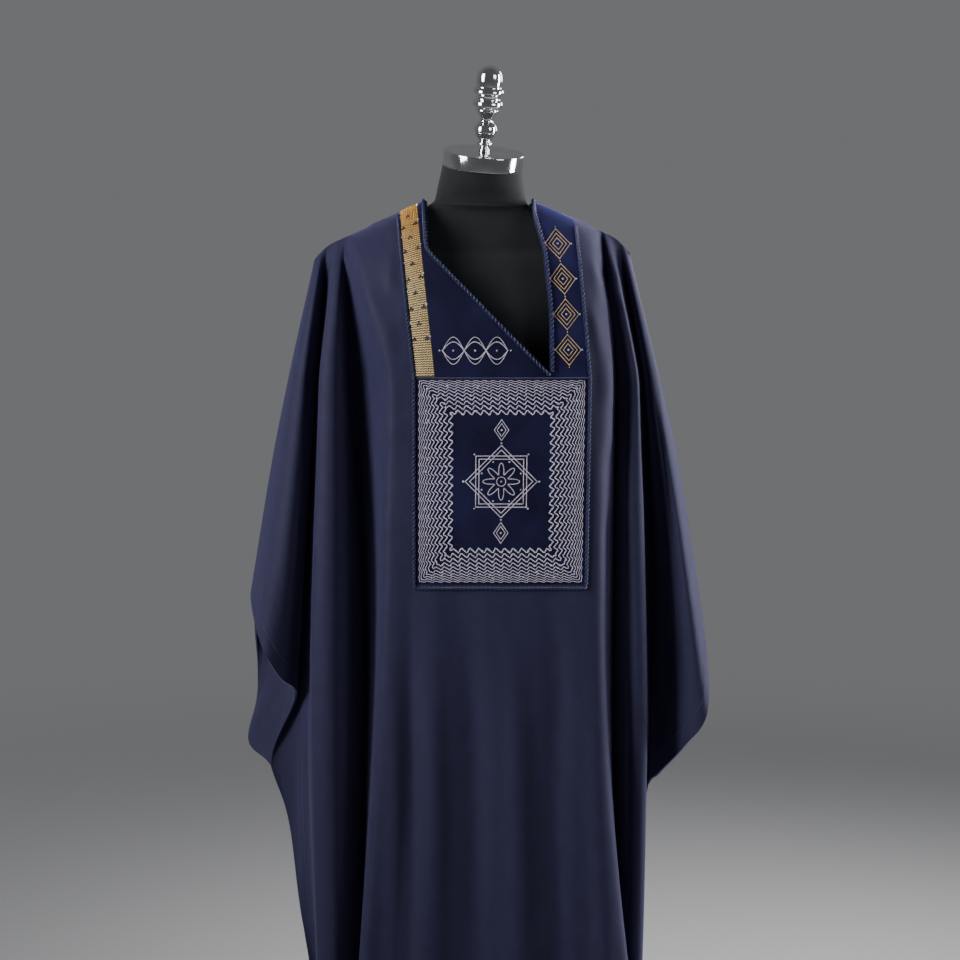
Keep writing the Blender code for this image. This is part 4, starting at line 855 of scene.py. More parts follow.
def one_on_each(tree, given, put, shape, turn, size, finish, smooth):
    """The rest of a tree that lays a shape on each point of its mesh and gives it a finish."""
    places = {"Points": given["Geometry"], "Instance": shape, "Rotation": turn, "Scale": size}
    laid = add_node(tree, "GeometryNodeInstanceOnPoints", places)
    real = add_node(tree, "GeometryNodeRealizeInstances", {"Geometry": laid})
    if smooth:
        real = add_node(tree, "GeometryNodeSetShadeSmooth", {"Geometry": real})
    made = add_node(tree, "GeometryNodeSetMaterial", {"Geometry": real, "Material": given[finish]})
    tree.links.new(made.outputs[0], put[0])


def stitch_nodes():
    """Geometry Nodes that lay a thread stitch on each point, along the way it runs and out of the cloth."""
    inputs = {"Length": 0.0022, "Width": 0.0012, "Height": 0.0010, "Thread": "Material"}
    tree, given, put = geometry_group("laid_stitches", inputs)
    bead = add_node(tree, "GeometryNodeMeshIcoSphere", (), {"Radius": 0.5, "Subdivisions": 1})
    ways = {0: point_value(tree, "out"), 1: point_value(tree, "along")}
    turn = add_node(tree, "FunctionNodeAxesToRotation", ways, primary_axis="Z", secondary_axis="Y")
    shape = add_node(tree, "CombineXYZ", {0: given["Width"], 1: given["Length"], 2: given["Height"]})
    size = point_value(tree, "size", "FLOAT")
    scaled = add_node(tree, "VectorMath", {0: shape, "Scale": size}, operation="SCALE")
    one_on_each(tree, given, put, bead, turn, scaled, "Thread", smooth=True)
    return tree


def made_by_nodes(name, mesh, tree, inputs):
    """A plain piece made of what the node tree gives for this mesh."""
    start = new_object(name + "_start", mesh)
    modifier = start.modifiers.new("made", "NODES")
    modifier.node_group = tree
    for item in tree.interface.items_tree:
        if item.item_type == "SOCKET" and item.in_out == "INPUT" and item.name in inputs:
            modifier[item.identifier] = inputs[item.name]
    bpy.context.view_layer.update()
    result = start.evaluated_get(bpy.context.evaluated_depsgraph_get())
    plain = bpy.data.meshes.new_from_object(result)
    plain.name = name
    bpy.data.objects.remove(start)
    piece = new_object(name, plain)
    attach(piece, "root")
    return piece


def marked_points(name, spots, **marks):
    """A mesh of loose points, each carrying one number or one way for every mark."""
    mesh = bpy.data.meshes.new(name + "_points")
    mesh.from_pydata(spots.tolist(), [], [])
    for label, values in marks.items():
        kind, field = ("FLOAT_VECTOR", "vector") if values.ndim == 2 else ("FLOAT", "value")
        data = mesh.attributes.new(label, kind, "POINT").data
        data.foreach_set(field, values.astype(np.float32).ravel())
    return mesh


STITCHES = stitch_nodes()


def stitched(name, spots, along, out, size, thread, stitch):
    """Stitches of one thread, each stitch (length, width, height) times its size, laid on these spots."""
    mesh = marked_points(name, spots, along=along, out=out, size=size)
    sizes = dict(zip(("Length", "Width", "Height"), stitch))
    return made_by_nodes(name, mesh, STITCHES, {**sizes, "Thread": thread})


band_rows = np.linspace(0, front.chest, 200)
band_first, band_last = front.column["band_right"], front.column["band_left"]
band_down = lengths_along(front.at(band_rows, (band_first + band_last) / 2)[0])


def on_band(down_m, share):
    """Place on the gold band's face down_m metres from its top and at this share of its width."""
    i = np.interp(down_m, band_down, band_rows)
    j = band_first + share * (band_last - band_first)
    spot, normal = front.at(i, j)
    level = unit(front.at(i, j + 0.3)[0] - front.at(i, j - 0.3)[0])
    return spot, normal, level, np.cross(normal, level)


rows = np.arange(0.003, band_down[-1] - 0.002, FLOAT_PITCH)
shares = (np.arange(FLOATS_ACROSS) + 0.5) / FLOATS_ACROSS
down, share = (values.ravel() for values in np.meshgrid(rows, shares, indexing="ij"))
lean = np.where(np.arange(len(down)) % FLOATS_ACROSS % 2 == 0, FLOAT_LEAN, -FLOAT_LEAN)[:, None]
spot, normal, level, upward = on_band(down, 0.02 + 0.96 * share)
along = upward * np.cos(lean) + level * np.sin(lean)
sizes = np.random.default_rng(5).uniform(0.9, 1.06, len(down))
gilt_floats = stitched(
    "gold_band_floats", spot + normal * (BAND_TOP + FLOAT_RISE), along, normal, sizes, gilt, FLOAT_SIZE
)
marks = []
for k in range(MARK_ROWS):
    down_m = FIRST_MARK + MARK_PITCH * k
    for share in ((0.5,), (0.18, 0.82))[k % 2]:
        marks += [(down_m + dy, share + dx / BAND_WIDTH) for dx, dy in MARK_POINTS]
marks = np.array(marks)
spot, normal, _, upward = on_band(marks[:, 0], marks[:, 1])
spot = spot + normal * (BAND_TOP + MARK_RISE)
band_marks = stitched("gold_band_marks", spot, upward, normal, np.ones(len(marks)), jet, MARK_SIZE)

# ---- embroidery --------------------------------------------------------------------------------------------
# The velvet is worked in silver-lilac and gold chain stitch, couched so that each link stands proud: wavy
# frames one inside another round an eight-pointed star, a guilloche at the neck and a chain of lozenges.

LINK = (0.0021, 0.0014, 0.0011)  # length, width and height of one link of the chain
LINK_PITCH = 0.86  # from link to link, in lengths
LINK_RISE = 0.3  # from the cloth to a link's middle, in heights
PANEL_HALF = (0.1215, 0.1475)  # half sizes of the field that the frames fill
PANEL_MIDDLE_Z = (CHEST_Z + PANEL_Z) / 2
PANEL_RIGHT, PANEL_LEFT = 0.0915, 0.1550  # the chest panel's edges, from x = 0
PANEL_HALF_WIDE = 0.1225  # the half width that designs are drawn to, then fitted between its edges
PANEL_TAPER, TAPER_LENGTH = 0.0050, 0.306  # how far its left edge comes in, and over what length
FRAME_INSETS = (0.0032, 0.0062, 0.0096, 0.0134, 0.0177, 0.0226, 0.0281, 0.0342, 0.0409, 0.0482)
OUTER_FRAMES, STONES_ROUND = 5, 60  # frames in the outer piece, and the most stones on one frame
FRAME_WAVE, SIDE_POINTS = 0.0125, 520
STAR_SQUARES, STAR_CENTRE = (0.052, 0.0455), 0.0066  # its corners' radii, and the radius of the ring inside
STAR_STONES, PETAL_STONES = 0.0550, 0.0305  # radii of the two rings of stones
PETALS, PETAL_RADIUS, PETAL_DEPTH = 8, 0.0185, 0.0080
SMALL_LOZENGE, SMALL_LOZENGE_Z = (0.0105, 0.0150), 0.0740  # half sizes, and distance from the panel's middle
GUILLOCHE_X, GUILLOCHE_Z, GUILLOCHE_SWELL = (-0.054, 0.040), 1.3155, 0.0125
GUILLOCHE_STONES = (-0.0383, -0.0070, 0.0243, -0.0583, 0.0443)
STRIP_LOZENGE, STRIP_FIRST_Z, STRIP_PITCH, STRIP_COUNT = (0.0185, 0.0220), 1.3165, 0.0510, 4
STRIP_MIDDLE_X = ((1.29, 1.36, 1.43, 1.49), (0.1285, 0.1250, 0.1185, 0.1100))  # at these heights
STRIP_LINK, STRIP_STONE = (0.0215, 0.0250), 0.0197  # from a lozenge's middle to the links and side stones


def outer_faces(*pieces):
    """What the embroidery and the cords lie on, to be found by a straight ray."""
    points, faces = [], []
    for piece in pieces:
        start = len(points)
        points += [v.co.copy() for v in piece.data.vertices]
        faces += [[start + k for k in face.vertices] for face in piece.data.polygons]
    return BVHTree.FromPolygons(points, faces)


chest_face = outer_faces(robe["body_front"][0], chest_panel, neck_panel, neck_strip, band)
bare_face = outer_faces(robe["body_front"][0], robe["body_back"][0])


def touched(places, face, way):
    """Where rays that way first touch a face, and its normal there. places are (x, z), or (x, y) for down."""
    ray = {"back": Vector((0, 1, 0)), "front": Vector((0, -1, 0)), "down": Vector((0, 0, -1))}[way]
    spots, normals = [], []
    for a, b in places:
        start = (a, b, 2) if way == "down" else (a, -ray.y, b)
        spot, normal, _, _ = face.ray_cast(Vector(start), ray)
        if spot is not None:
            spots.append(spot)
            normals.append(normal)
    return np.array(spots), np.array(normals)


def spaced(route, pitch, closed=False):
    """Evenly spaced points along a route, and the route's own end where it is open.

    Columns after the first three, such as normals, are carried along and don't count in the spacing.
    """
    route = np.asarray(route, float)
    if closed:
        route = np.vstack([route, route[:1]])
    length = lengths_along(route[:, :3])
    count = max(2, round(length[-1] / pitch))
    at = np.linspace(0, length[-1], count, endpoint=not closed)
    return np.stack([np.interp(at, length, column) for column in route.T], axis=1)


def worked(name, runs, thread):
    """Chain stitch along routes of (x, z) points. Each run is (route, closed, size)."""
    kept = []
    for route, closed, size in runs:
        places = spaced(route, LINK[0] * size * LINK_PITCH, closed)
        spots, normals = touched(places, chest_face, "back")
        if closed:
            along = np.roll(spots, -1, axis=0) - np.roll(spots, 1, axis=0)
        else:
            along = np.gradient(spots, axis=0)
        spots = spots + normals * LINK[2] * LINK_RISE * size
        kept.append((spots, unit(along), normals, np.full(len(spots), size)))
    return stitched(name, *(np.concatenate(group) for group in zip(*kept)), thread, LINK)


def thread_finish(name, dark, light, roughness, metallic):
    return mottled(name, roughness, metallic, 420, dark, light, (0.0002, 0.4))


silver = thread_finish("silver_lilac_thread", (0.42, 0.37, 0.50), (0.88, 0.83, 0.94), 0.40, 0.10)
gold = thread_finish("gold_thread", (0.62, 0.40, 0.13), (1.0, 0.78, 0.38), 0.38, 0.20)


def on_panel(x, z):
    """A place on the chest panel, from its middle, as seen from the front."""
    z = np.asarray(z, float) + PANEL_MIDDLE_Z
    left_edge = PANEL_LEFT - PANEL_TAPER * (CHEST_Z - z) / TAPER_LENGTH
    middle, half = (left_edge - PANEL_RIGHT) / 2, (left_edge + PANEL_RIGHT) / 2
    return np.stack([middle + np.asarray(x) / PANEL_HALF_WIDE * half, z], axis=-1)


def wavy_frame(inset, height):
    """A frame inset from the panel's edge whose line waves in and out, crest above crest on every frame."""
    half = np.array(PANEL_HALF) - inset
    line = []
    for side in range(4):
        along, across = (half[0], half[1]) if side % 2 == 0 else (half[1], half[0])
        t = np.linspace(-along, along, SIDE_POINTS, endpoint=False)
        crest = np.cos(2 * math.pi * t / FRAME_WAVE) + 0.25 * np.sin(4 * math.pi * t / FRAME_WAVE)
        out = across + height * crest * np.clip((along - np.abs(t)) / 0.006, 0, 1)
        x, z = ((-t, out), (-out, -t), (t, -out), (out, t))[side]
        line.append(np.stack([x, z], axis=1))
    return np.vstack(line)


def star(radius, points, turn=0.0):
    """The corners of a square or other regular figure, from the panel's middle."""
    a = np.arange(points) * 2 * math.pi / points + turn
    return on_panel(radius * np.cos(a), radius * np.sin(a))


def lozenge(half_sizes, scale):
    across, up = half_sizes
    return np.array([(0, up), (across, 0), (0, -up), (-across, 0)]) * scale


frame_runs, crystal_places = [], []
for k, inset in enumerate(FRAME_INSETS):
    share = k / (len(FRAME_INSETS) - 1)
    line = wavy_frame(inset, 0.0008 + 0.0020 * share)
    frame_runs.append((on_panel(line[:, 0], line[:, 1]), True, 0.90 + 0.72 * share))
    if k > 1:
        every = 4 * SIDE_POINTS // (STONES_ROUND // (1 + k % 3))
        crystal_places += on_panel(*line[(k * 13) % every :: every].T).tolist()

centre_runs = [(star(radius, 4, turn), True, 1.25) for radius in STAR_SQUARES for turn in (0, math.pi / 4)]
angle = np.linspace(0, 2 * math.pi, 240, endpoint=False)
petals = PETAL_RADIUS + PETAL_DEPTH * np.cos(PETALS * angle)
centre_runs.append((on_panel(petals * np.cos(angle), petals * np.sin(angle)), True, 1.15))
centre_runs.append((star(STAR_CENTRE, 24), True, 1.0))
crystal_places += star(STAR_STONES, 8).tolist() + star(PETAL_STONES, 8, math.pi / 8).tolist()
crystal_places += on_panel([0], [0]).tolist()
for middle in (-SMALL_LOZENGE_Z, SMALL_LOZENGE_Z):
    for scale in (1.0, 0.62):
        corners = lozenge(SMALL_LOZENGE, scale)
        centre_runs.append((on_panel(corners[:, 0], corners[:, 1] + middle), True, 1.0))
    crystal_places += on_panel([0], [middle]).tolist()

along_x = np.linspace(*GUILLOCHE_X, 190)
neck_runs = []
for half_turn in (0, math.pi):
    share = (along_x - GUILLOCHE_X[0]) / (GUILLOCHE_X[1] - GUILLOCHE_X[0])
    swell = GUILLOCHE_SWELL * np.sin(share * 3 * math.pi + half_turn)
    for scale, size in ((1.0, 1.30), (1.55, 1.0)):
        neck_runs.append((np.stack([along_x, GUILLOCHE_Z + swell * scale], axis=1), False, size))
crystal_places += [(x, GUILLOCHE_Z) for x in GUILLOCHE_STONES]

strip_runs = []
for k in range(STRIP_COUNT):
    z = STRIP_FIRST_Z + STRIP_PITCH * k
    x = np.interp(z, *STRIP_MIDDLE_X)
    slope = -0.06 if z < 1.40 else -0.12
    for scale in (1.0, 0.70, 0.40):
        corners = lozenge(STRIP_LOZENGE, scale)
        strip_runs.append((corners + corners[:, 1:] * (slope, 0) + (x, z), True, 0.78))
    inner, outer = STRIP_LINK
    for a, b in ((-outer, -inner), (inner, outer)):
        strip_runs.append((np.array([(x + slope * a, z + a), (x + slope * b, z + b)]), False, 0.9))
    crystal_places += [(x - STRIP_STONE, z), (x + STRIP_STONE, z), (x, z)]

frames_outer = worked("chest_frames_outer", frame_runs[:OUTER_FRAMES], silver)
frames_inner = worked("chest_frames_inner", frame_runs[OUTER_FRAMES:], silver)
chest_star = worked("chest_star", centre_runs, silver)
neck_work = worked("neck_guilloche", neck_runs, silver)
strip_work = worked("neck_strip_lozenges", strip_runs, gold)

# ---- crystals ----------------------------------------------------------------------------------------------
# Small flat-backed cut-glass stones, 2.3 to 3.5 mm across, are fixed by heat along the wavy frames, round the
# star, on the guilloche and the lozenges, and along the gold band's edges.

STONE_RADIUS, STONE_RISE = 0.0015, 0.0011
STONE_SEAT, BAND_STONE_SEAT = 0.0006, 0.0008  # how far their middles lie off the velvet and off the braid
BAND_STONES, BAND_STONE_FIRST, BAND_STONE_PITCH = 11, 0.018, 0.023
crystal = mottled(
    "cut_crystal", 0.12, 0.25, 260, (0.45, 0.50, 0.95), (1.0, 1.0, 1.0), low=0.35, high=0.65,
    Coat_Weight=0.6, Coat_Roughness=0.03,
)


def stone_nodes():
    """Geometry Nodes that set an eight-sided stone with a flat table on each point."""
    inputs = {"Radius": 0.0011, "Rise": 0.0009, "Glass": "Material"}
    tree, given, put = geometry_group("set_stones", inputs)
    table = add_node(tree, "Math", {0: given["Radius"]}, {1: 0.5}, operation="MULTIPLY")
    sizes = {"Radius Top": table, "Radius Bottom": given["Radius"], "Depth": given["Rise"]}
    stone = add_node(tree, "GeometryNodeMeshCone", sizes, {"Vertices": 8})
    turn = add_node(tree, "FunctionNodeAlignRotationToVector", {"Vector": point_value(tree, "out")}, axis="Z")
    one_on_each(tree, given, put, stone, turn, point_value(tree, "size", "FLOAT"), "Glass", smooth=False)
    return tree


spots, normals = touched(crystal_places, chest_face, "back")
band_edge = [(BAND_STONE_FIRST + BAND_STONE_PITCH * k, 0.02 if k % 2 else 0.98) for k in range(BAND_STONES)]
band_spot, band_normal, _, _ = on_band(*np.array(band_edge).T)
spots = np.vstack([spots + normals * STONE_SEAT, band_spot + band_normal * (BAND_TOP + BAND_STONE_SEAT)])
sizes = np.random.default_rng(8).uniform(0.75, 1.15, len(spots))
stones = marked_points("crystal", spots, out=np.vstack([normals, band_normal]), size=sizes)
stone_inputs = {"Radius": STONE_RADIUS, "Rise": STONE_RISE, "Glass": crystal}
crystals = made_by_nodes("crystals", stones, stone_nodes(), stone_inputs)

# ---- twisted cords -----------------------------------------------------------------------------------------
# Round cords of two navy rayon strands twisted together. The thick one edges the neck opening all round, one
# nearly as thick borders the bib, and a thinner one covers the join between neck pieces and chest panel.

CORD_STEP = 0.0011  # length of a cord's cells
PATH_STEP = 0.0025  # between the places where a cord is laid on the cloth
STRAND_LAY = 0.96  # each strand's middle from the cord's, in strand radii, so that the two press together
NECK_STRAND, NECK_TURN = 0.0016, 0.0130  # a strand's radius, and the cord's length for one turn
BORDER_STRAND, BORDER_TURN = 0.0015, 0.0125
MIDDLE_STRAND, MIDDLE_TURN = 0.0009, 0.0075
ON_SUITING, ON_VELVET, MIDDLE_RISE = 0.0024, 0.0020, 0.0011  # how far the cords' middles lie off the cloth
cord_yarn = mottled(
    "navy_cord", 0.42, 0.0, 800, (0.014, 0.017, 0.052), (0.036, 0.041, 0.120), (0.0002, 0.5),
    Sheen_Weight=0.3, Sheen_Roughness=0.3, Sheen_Tint=(0.4, 0.45, 1.0, 1),
)


def cord_nodes():
    """Geometry Nodes that twist two strands round a path."""
    inputs = {"Strand Radius": 0.0013, "Turn": 0.010, "Step": 0.0011, "Yarn": "Material"}
    tree, given, put = geometry_group("twisted_cord", inputs)
    path = add_node(tree, "GeometryNodeMeshToCurve", {"Mesh": given["Geometry"]})
    stepped = {"Curve": path, "Length": given["Step"]}
    even = add_node(tree, "GeometryNodeResampleCurve", stepped, mode="LENGTH")
    along = add_node(tree, "GeometryNodeSplineParameter").outputs["Length"]
    turns = add_node(tree, "Math", {0: along, 1: given["Turn"]}, operation="DIVIDE")
    angle = add_node(tree, "Math", {0: turns}, {1: 2 * math.pi}, operation="MULTIPLY")
    tilted = add_node(tree, "GeometryNodeSetCurveTilt", {"Curve": even, "Tilt": angle})
    radius = given["Strand Radius"]
    strand = add_node(tree, "GeometryNodeCurvePrimitiveCircle", {"Radius": radius}, {"Resolution": 8})
    lay = add_node(tree, "Math", {0: radius}, {1: STRAND_LAY}, operation="MULTIPLY")
    joined = add_node(tree, "GeometryNodeJoinGeometry")
    for side in (-1, 1):
        way = add_node(tree, "VectorMath", {"Scale": lay}, {0: (side, 0, 0)}, operation="SCALE")
        moved = add_node(tree, "GeometryNodeTransform", {"Geometry": strand, "Translation": way})
        tree.links.new(moved.outputs[0], joined.inputs[0])
    profile = {"Curve": tilted, "Profile Curve": joined}
    swept = add_node(tree, "GeometryNodeCurveToMesh", profile, {"Fill Caps": True})
    smooth = add_node(tree, "GeometryNodeSetShadeSmooth", {"Geometry": swept})
    made = add_node(tree, "GeometryNodeSetMaterial", {"Geometry": smooth, "Material": given["Yarn"]})
    tree.links.new(made.outputs[0], put[0])
    return tree


TWISTED = cord_nodes()


def twisted_cord(name, path, strand, turn, *nodes):
    mesh = bpy.data.meshes.new(name + "_path")
    mesh.from_pydata(path.tolist(), [(k, k + 1) for k in range(len(path) - 1)], [])
    sizes = {"Strand Radius": strand, "Turn": turn, "Step": CORD_STEP, "Yarn": cord_yarn}
    piece = made_by_nodes(name, mesh, TWISTED, sizes)
    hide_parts(*nodes)
    return piece


def cord_line(route, face, way, rise):
    """A cord's path laid on a face along these points and raised off it, with its corners rounded."""
    spots, normals = touched(spaced(route, PATH_STEP), face, way)
    return smoothed(spots + unit(smoothed(normals, 4)) * rise, 1.6)


border = [
    (-0.1198, 1.510), (-0.0950, 1.274), (-0.0950, 0.9735), (0.1528, 0.9735), (0.1580, 1.274), (0.1400, 1.494),
]
border_cord = twisted_cord(
    "border_cord", cord_line(border, bare_face, "back", ON_SUITING), BORDER_STRAND, BORDER_TURN,
    "cord_border_right", "cord_border_left",
)
join = [(-0.0910, 1.2757), (0.1545, 1.2757)]
middle_cord = twisted_cord(
    "middle_cord", cord_line(join, chest_face, "back", MIDDLE_RISE), MIDDLE_STRAND, MIDDLE_TURN, "cord_middle"
)
# The neck cord goes up the slanting edge, over the right shoulder, behind, over the left and down.
up_right = [(0.1010, 1.2800), (0.0860, 1.2935), (-0.0782, 1.4610), (-0.0826, 1.518)]
over_right = [(-0.0830, -0.022), (-0.0832, 0.0), (-0.0830, 0.022)]
behind = [
    (-0.0820, 1.521), (-0.0580, 1.5015), (-0.0205, 1.4915),
    (0.0205, 1.4915), (0.0540, 1.5015), (0.0780, 1.521),
]
over_left = [(0.0788, 0.022), (0.0790, 0.0), (0.0790, -0.022)]
down_left = [(0.0800, 1.516), (0.0834, 1.500), (0.0942, 1.462), (0.1030, 1.370), (0.1040, 1.2850)]
neck_path = np.vstack([
    cord_line(up_right, chest_face, "back", ON_VELVET),
    cord_line(over_right, bare_face, "down", ON_SUITING),
    cord_line(behind, bare_face, "front", ON_SUITING),
    cord_line(over_left, bare_face, "down", ON_SUITING),
    cord_line(down_left, chest_face, "back", ON_VELVET),
])
neck_path = smoothed(spaced(neck_path, PATH_STEP), 1.8)
neck_cord = twisted_cord("neck_cord", neck_path, NECK_STRAND, NECK_TURN, "cord_neck_right", "cord_neck_left")

# ---- hems and seams ----------------------------------------------------------------------------------------
# Sleeve openings and the robe's foot are turned in about 38 mm. A line of machine stitches in navy thread
# holds each, 29 mm above a sleeve's edge and 35 mm above the foot, and shows as short lighter dashes.

SLEEVE_STITCHED, FOOT_STITCHED = 0.029, 0.035
HEM_PITCH, HEM_STITCH = 0.0034, (0.0028, 0.0010, 0.0008)
hem_thread = thread_finish("hem_thread", (0.030, 0.032, 0.072), (0.085, 0.090, 0.165), 0.45, 0.0)


def hem_line(hang, first, last, above):
    """Points and normals on the cloth's outer face, this far above its edge, between two lines."""
    columns = np.arange(hang.column[first], hang.column[last] + 1)
    rows = [np.interp(-above, -hang.to_edge[:, j], np.arange(len(hang.to_edge))) for j in columns]
    spots, normals = hang.at(np.array(rows), columns)
    return np.hstack([spots + normals * (CLOTH / 2 + 0.0001), normals])


hem_spots, hem_along, hem_out = [], [], []
for first, last, above in (
    ("right_top_fold", "right_cuff_end", SLEEVE_STITCHED),
    ("left_cuff_end", "left_top_fold", SLEEVE_STITCHED),
    ("right_side_hem", "left_side_hem", FOOT_STITCHED),
):
    for hang in (front, back):
        line = spaced(hem_line(hang, first, last, above), HEM_PITCH)
        hem_spots.append(line[:, :3])
        hem_along.append(unit(np.gradient(line[:, :3], axis=0)))
        hem_out.append(unit(line[:, 3:]))
hem_spots = np.vstack(hem_spots)
hem_stitches = stitched(
    "hem_stitches", hem_spots, np.vstack(hem_along), np.vstack(hem_out), np.ones(len(hem_spots)), hem_thread,
    HEM_STITCH,
)

on_front = [chest_panel, neck_panel, neck_strip, band, gilt_floats, band_marks, frames_outer, frames_inner]
on_front += [chest_star, neck_work, strip_work, crystals, border_cord, middle_cord, neck_cord]

# ---- dress form --------------------------------------------------------------------------------------------
# A limbless torso of moulded fibre covered in close black jersey, pulled smooth over shoulders and neck. It
# carries the robe on its shoulders.

NECK_LEAN = 4.5
FORM_SIDES = 120
FOOT_RINGS = (0.15, 0.5, 0.8, 0.93, 0.98)  # sizes of the underside's rings, from its middle out
NECK_RINGS = (1.0, 0.97, 0.8, 0.5, 0.15)  # and of the rings that close the neck
jersey = woven_finish(
    "black_jersey", 0.82, 0.0011, (1.0, 1.0, 0.6), (0.0068, 0.0078, 0.0092), (0.0130, 0.0148, 0.0172),
    0.0003, 0.5, Sheen_Weight=0.25, Sheen_Roughness=0.5, Sheen_Tint=(0.7, 0.75, 0.8, 1),
    Specular_IOR_Level=0.25,
)


def form_ring(z, shrink=1.0):
    """Points round the form at height z. Towards the neck the rings tilt forward and lean to the left."""
    half_width, half_depth, middle_x, middle_y, tilt = (float(value) for value in form_at(z))
    a = np.arange(FORM_SIDES) * 2 * math.pi / FORM_SIDES
    x = shrink * half_width * np.copysign(np.abs(np.cos(a)) ** (2 / FORM_ROUNDNESS), np.cos(a))
    y = shrink * half_depth * np.copysign(np.abs(np.sin(a)) ** (2 / FORM_ROUNDNESS), np.sin(a))
    lean, tilt = math.radians(NECK_LEAN) * tilt / FORM_SECTIONS[-1, 5], math.radians(tilt)
    up = z + y * math.sin(tilt) - x * math.sin(lean)
    return np.stack([middle_x + x, middle_y + y * math.cos(tilt), up], axis=1)


def ringed(name, rings, finish):
    """A closed solid through rings of points, closed by a fan at each end."""
    sides = len(rings[0])
    points = np.vstack(rings + [rings[0].mean(axis=0)[None], rings[-1].mean(axis=0)[None]])
    foot, top = len(points) - 2, len(points) - 1
    last = (len(rings) - 1) * sides
    faces = []
    for i in range(0, last, sides):
        for k in range(sides):
            a, b = i + k, i + (k + 1) % sides
            faces.append((a, b, b + sides, a + sides))
    faces += [((k + 1) % sides, k, foot) for k in range(sides)]
    faces += [(last + k, last + (k + 1) % sides, top) for k in range(sides)]
    mesh = bpy.data.meshes.new(name)
    mesh.from_pydata(points.tolist(), [], faces)
    shape = bmesh.new()
    shape.from_mesh(mesh)
    bmesh.ops.recalc_face_normals(shape, faces=shape.faces)
    shape.to_mesh(mesh)
    shape.free()
    mesh.shade_smooth()
    mesh.set_sharp_from_angle(angle=math.radians(40))
    mesh.materials.append(finish)
    piece = new_object(name, mesh)
    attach(piece, "root")
    return piece


heights = FORM_SECTIONS[:, 0]
levels = np.concatenate([np.linspace(a, b, 6, endpoint=False) for a, b in zip(heights[:-1], heights[1:])])
rings = [form_ring(heights[0], shrink) for shrink in FOOT_RINGS] + [form_ring(z) for z in levels]
rings += [form_ring(heights[-1], shrink) for shrink in NECK_RINGS]
torso = ringed("form_jersey", rings, jersey)
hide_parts("form_torso")

# ---- neck cap and finial -----------------------------------------------------------------------------------
# The form's neck is closed by a turned and polished chrome cap with a narrow rounded edge. On it stands a
# turned finial: foot, ball, waist, two rings and an acorn, all chromed.

CAP_RADIUS, CAP_HEIGHT, CAP_EDGE = 0.0600, 0.0225, 0.0018
# (radius, height)
FINIAL_PROFILE = (
    (0.0078, 0.000), (0.0082, 0.003), (0.0062, 0.006), (0.0105, 0.010), (0.0107, 0.013), (0.0082, 0.016),
    (0.0125, 0.021), (0.0162, 0.027), (0.0170, 0.032), (0.0155, 0.038), (0.0110, 0.043), (0.0095, 0.046),
    (0.0105, 0.050), (0.0140, 0.056), (0.0166, 0.060), (0.0165, 0.063), (0.0212, 0.066), (0.0224, 0.070),
    (0.0212, 0.074), (0.0180, 0.077), (0.0178, 0.080), (0.0190, 0.083), (0.0222, 0.086), (0.0228, 0.0885),
    (0.0216, 0.0915), (0.0186, 0.0945), (0.0190, 0.099), (0.0193, 0.106), (0.0178, 0.114), (0.0130, 0.121),
    (0.0065, 0.125), (0.0000, 0.126),
)
chrome, tree, shader = finish_of("polished_chrome", 0.08, 1.0)
haze = noise_on(tree, None, 35, 5)
two_tones(tree, haze, (0.66, 0.67, 0.70), (0.86, 0.87, 0.89), shader)
dulled = {"From Min": 0.3, "From Max": 0.7, "To Min": 0.05, "To Max": 0.13}
tree.links.new(add_node(tree, "MapRange", {"Value": haze}, dulled).outputs[0], shader.inputs["Roughness"])

tilt, lean = math.radians(FORM_SECTIONS[-1, 5]), math.radians(NECK_LEAN)
forward = np.array([[1, 0, 0], [0, math.cos(tilt), -math.sin(tilt)], [0, math.sin(tilt), math.cos(tilt)]])
sideways = np.array([[math.cos(lean), 0, math.sin(lean)], [0, 1, 0], [-math.sin(lean), 0, math.cos(lean)]])
NECK_FRAME = sideways @ forward
CAP_SEAT = FORM_SECTIONS[-1, [3, 4, 0]] + NECK_FRAME @ (0, 0, GAP)


def turned(name, profile, place, finish, sides, axes=np.eye(3)):
    """A solid turned about its own axis from (radius, height) points, standing at place along these axes."""
    a = np.arange(sides) * 2 * math.pi / sides
    rings = []
    for radius, height in profile:
        level = np.stack([radius * np.cos(a), radius * np.sin(a), np.full(sides, height)], axis=1)
        rings.append(level @ axes.T + place)
    return ringed(name, rings, finish)


def eased_profile(profile, steps):
    """A turned profile with its curves filled in."""
    points = np.array(profile)
    ends = np.vstack([2 * points[0] - points[1], points, 2 * points[-1] - points[-2]])
    made = []
    for p0, p1, p2, p3 in zip(ends, ends[1:], ends[2:], ends[3:]):
        for t in np.arange(steps) / steps:
            bend = (2 * p0 - 5 * p1 + 4 * p2 - p3) * t**2 + (3 * p1 - p0 - 3 * p2 + p3) * t**3
            made.append(0.5 * (2 * p1 + (p2 - p0) * t + bend))
    made.append(points[-1])
    return [(max(radius, 0.0002), height) for radius, height in made]


def disc_profile(radius, height, foot_edge, top_edge, inner_foot, inner_top):
    """The profile of a disc whose foot and top edges are rounded, with flat points further in."""
    arc = [(math.cos(t), math.sin(t)) for t in np.linspace(0, math.pi / 2, 7)]
    foot = [(radius - foot_edge + foot_edge * s, foot_edge - foot_edge * c) for c, s in arc]
    top = [(radius - top_edge + top_edge * c, height - top_edge + top_edge * s) for c, s in arc]
    return [(inner_foot, 0.0)] + foot + top + [(inner, height) for inner in inner_top]


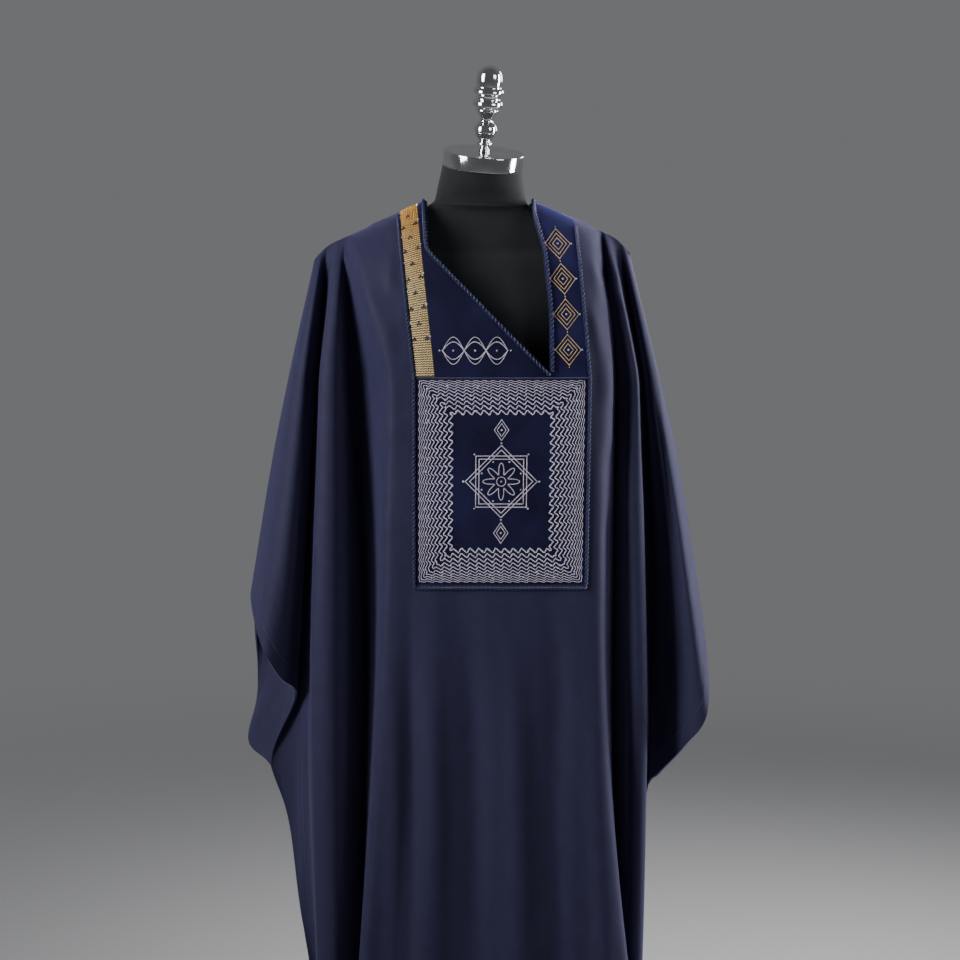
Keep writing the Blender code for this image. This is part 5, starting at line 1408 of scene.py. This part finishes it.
cap_profile = disc_profile(CAP_RADIUS, CAP_HEIGHT, CAP_EDGE, CAP_EDGE, 0.030, (0.048, 0.030, 0.012))
cap = turned("neck_cap_chrome", cap_profile, CAP_SEAT, chrome, 128, NECK_FRAME)
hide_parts("neck_cap")
finial_seat = CAP_SEAT + NECK_FRAME @ (0, 0, CAP_HEIGHT + GAP)
finial = turned("finial_chrome", eased_profile(FINIAL_PROFILE, 4), finial_seat, chrome, 72, NECK_FRAME)
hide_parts("finial")

# ---- stand -------------------------------------------------------------------------------------------------
# A chromed steel tube rises from a round weighted base plate through a turned collar with a locking screw,
# and ends in a flange screwed under the form.

BASE_RADIUS, BASE_HEIGHT, BASE_FOOT_EDGE, BASE_TOP_EDGE = 0.190, 0.014, 0.003, 0.006
COLLAR_HEIGHT = 0.050
POLE_RADIUS, FLANGE_RADIUS = 0.016, 0.042
SCREW_SEAT = (0, -0.021, 0.045)
COLLAR_PROFILE = (
    (0.030, 0.0), (0.034, 0.001), (0.034, 0.005), (0.032, 0.007), (0.025, 0.013), (0.022, 0.018),
    (0.022, 0.045), (0.0205, COLLAR_HEIGHT), (0.017, COLLAR_HEIGHT),
)
SCREW_PROFILE = (
    (0.0035, 0.0), (0.0035, 0.006), (0.0075, 0.0065), (0.0080, 0.008), (0.0080, 0.014), (0.0070, 0.0155),
)
FORWARD_AXES = np.array([[1, 0, 0], [0, 0, -1], [0, 1, 0]])

# Wear has left small cloudy marks all over the plate.
steel, tree, shader = finish_of("stand_steel", 0.22, 1.0)
place = add_node(tree, "TexCoord").outputs["Object"]
wiped = add_node(tree, "Mapping", {"Vector": place}, {"Scale": (1.0, 1.0, 0.05)})
marks = noise_on(tree, wiped.outputs[0], 180, 4)
two_tones(tree, marks, (0.50, 0.51, 0.53), (0.72, 0.73, 0.75), shader)
bumped(tree, marks, shader, 0.0001, 0.3)

plate = disc_profile(BASE_RADIUS, BASE_HEIGHT, BASE_FOOT_EDGE, BASE_TOP_EDGE, 0.05, (0.15, 0.08, 0.03))
base = turned("stand_base_plate", plate, np.zeros(3), steel, 128)
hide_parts("stand_base")
collar_seat = np.array([0, 0, BASE_HEIGHT + GAP])
collar = turned("stand_collar_turned", eased_profile(COLLAR_PROFILE, 2), collar_seat, chrome, 72)
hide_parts("stand_collar")
pole_foot = BASE_HEIGHT + COLLAR_HEIGHT + 2 * GAP
pole_top = FORM_SECTIONS[0, 0] - GAP - pole_foot
tube = [(0.004, 0.0), (POLE_RADIUS, 0.0), (POLE_RADIUS, 0.001), (POLE_RADIUS, pole_top - 0.0145)]
flange = [
    (POLE_RADIUS + 0.002, pole_top - 0.012), (FLANGE_RADIUS - 0.002, pole_top - 0.010),
    (FLANGE_RADIUS, pole_top - 0.009), (FLANGE_RADIUS, pole_top - 0.001), (FLANGE_RADIUS - 0.002, pole_top),
]
pole = turned("stand_pole_tube", tube + flange, np.array([0, 0, pole_foot]), chrome, 72)
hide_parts("stand_pole")
screw = turned("stand_collar_screw", SCREW_PROFILE, np.array(SCREW_SEAT), chrome, 32, FORWARD_AXES)
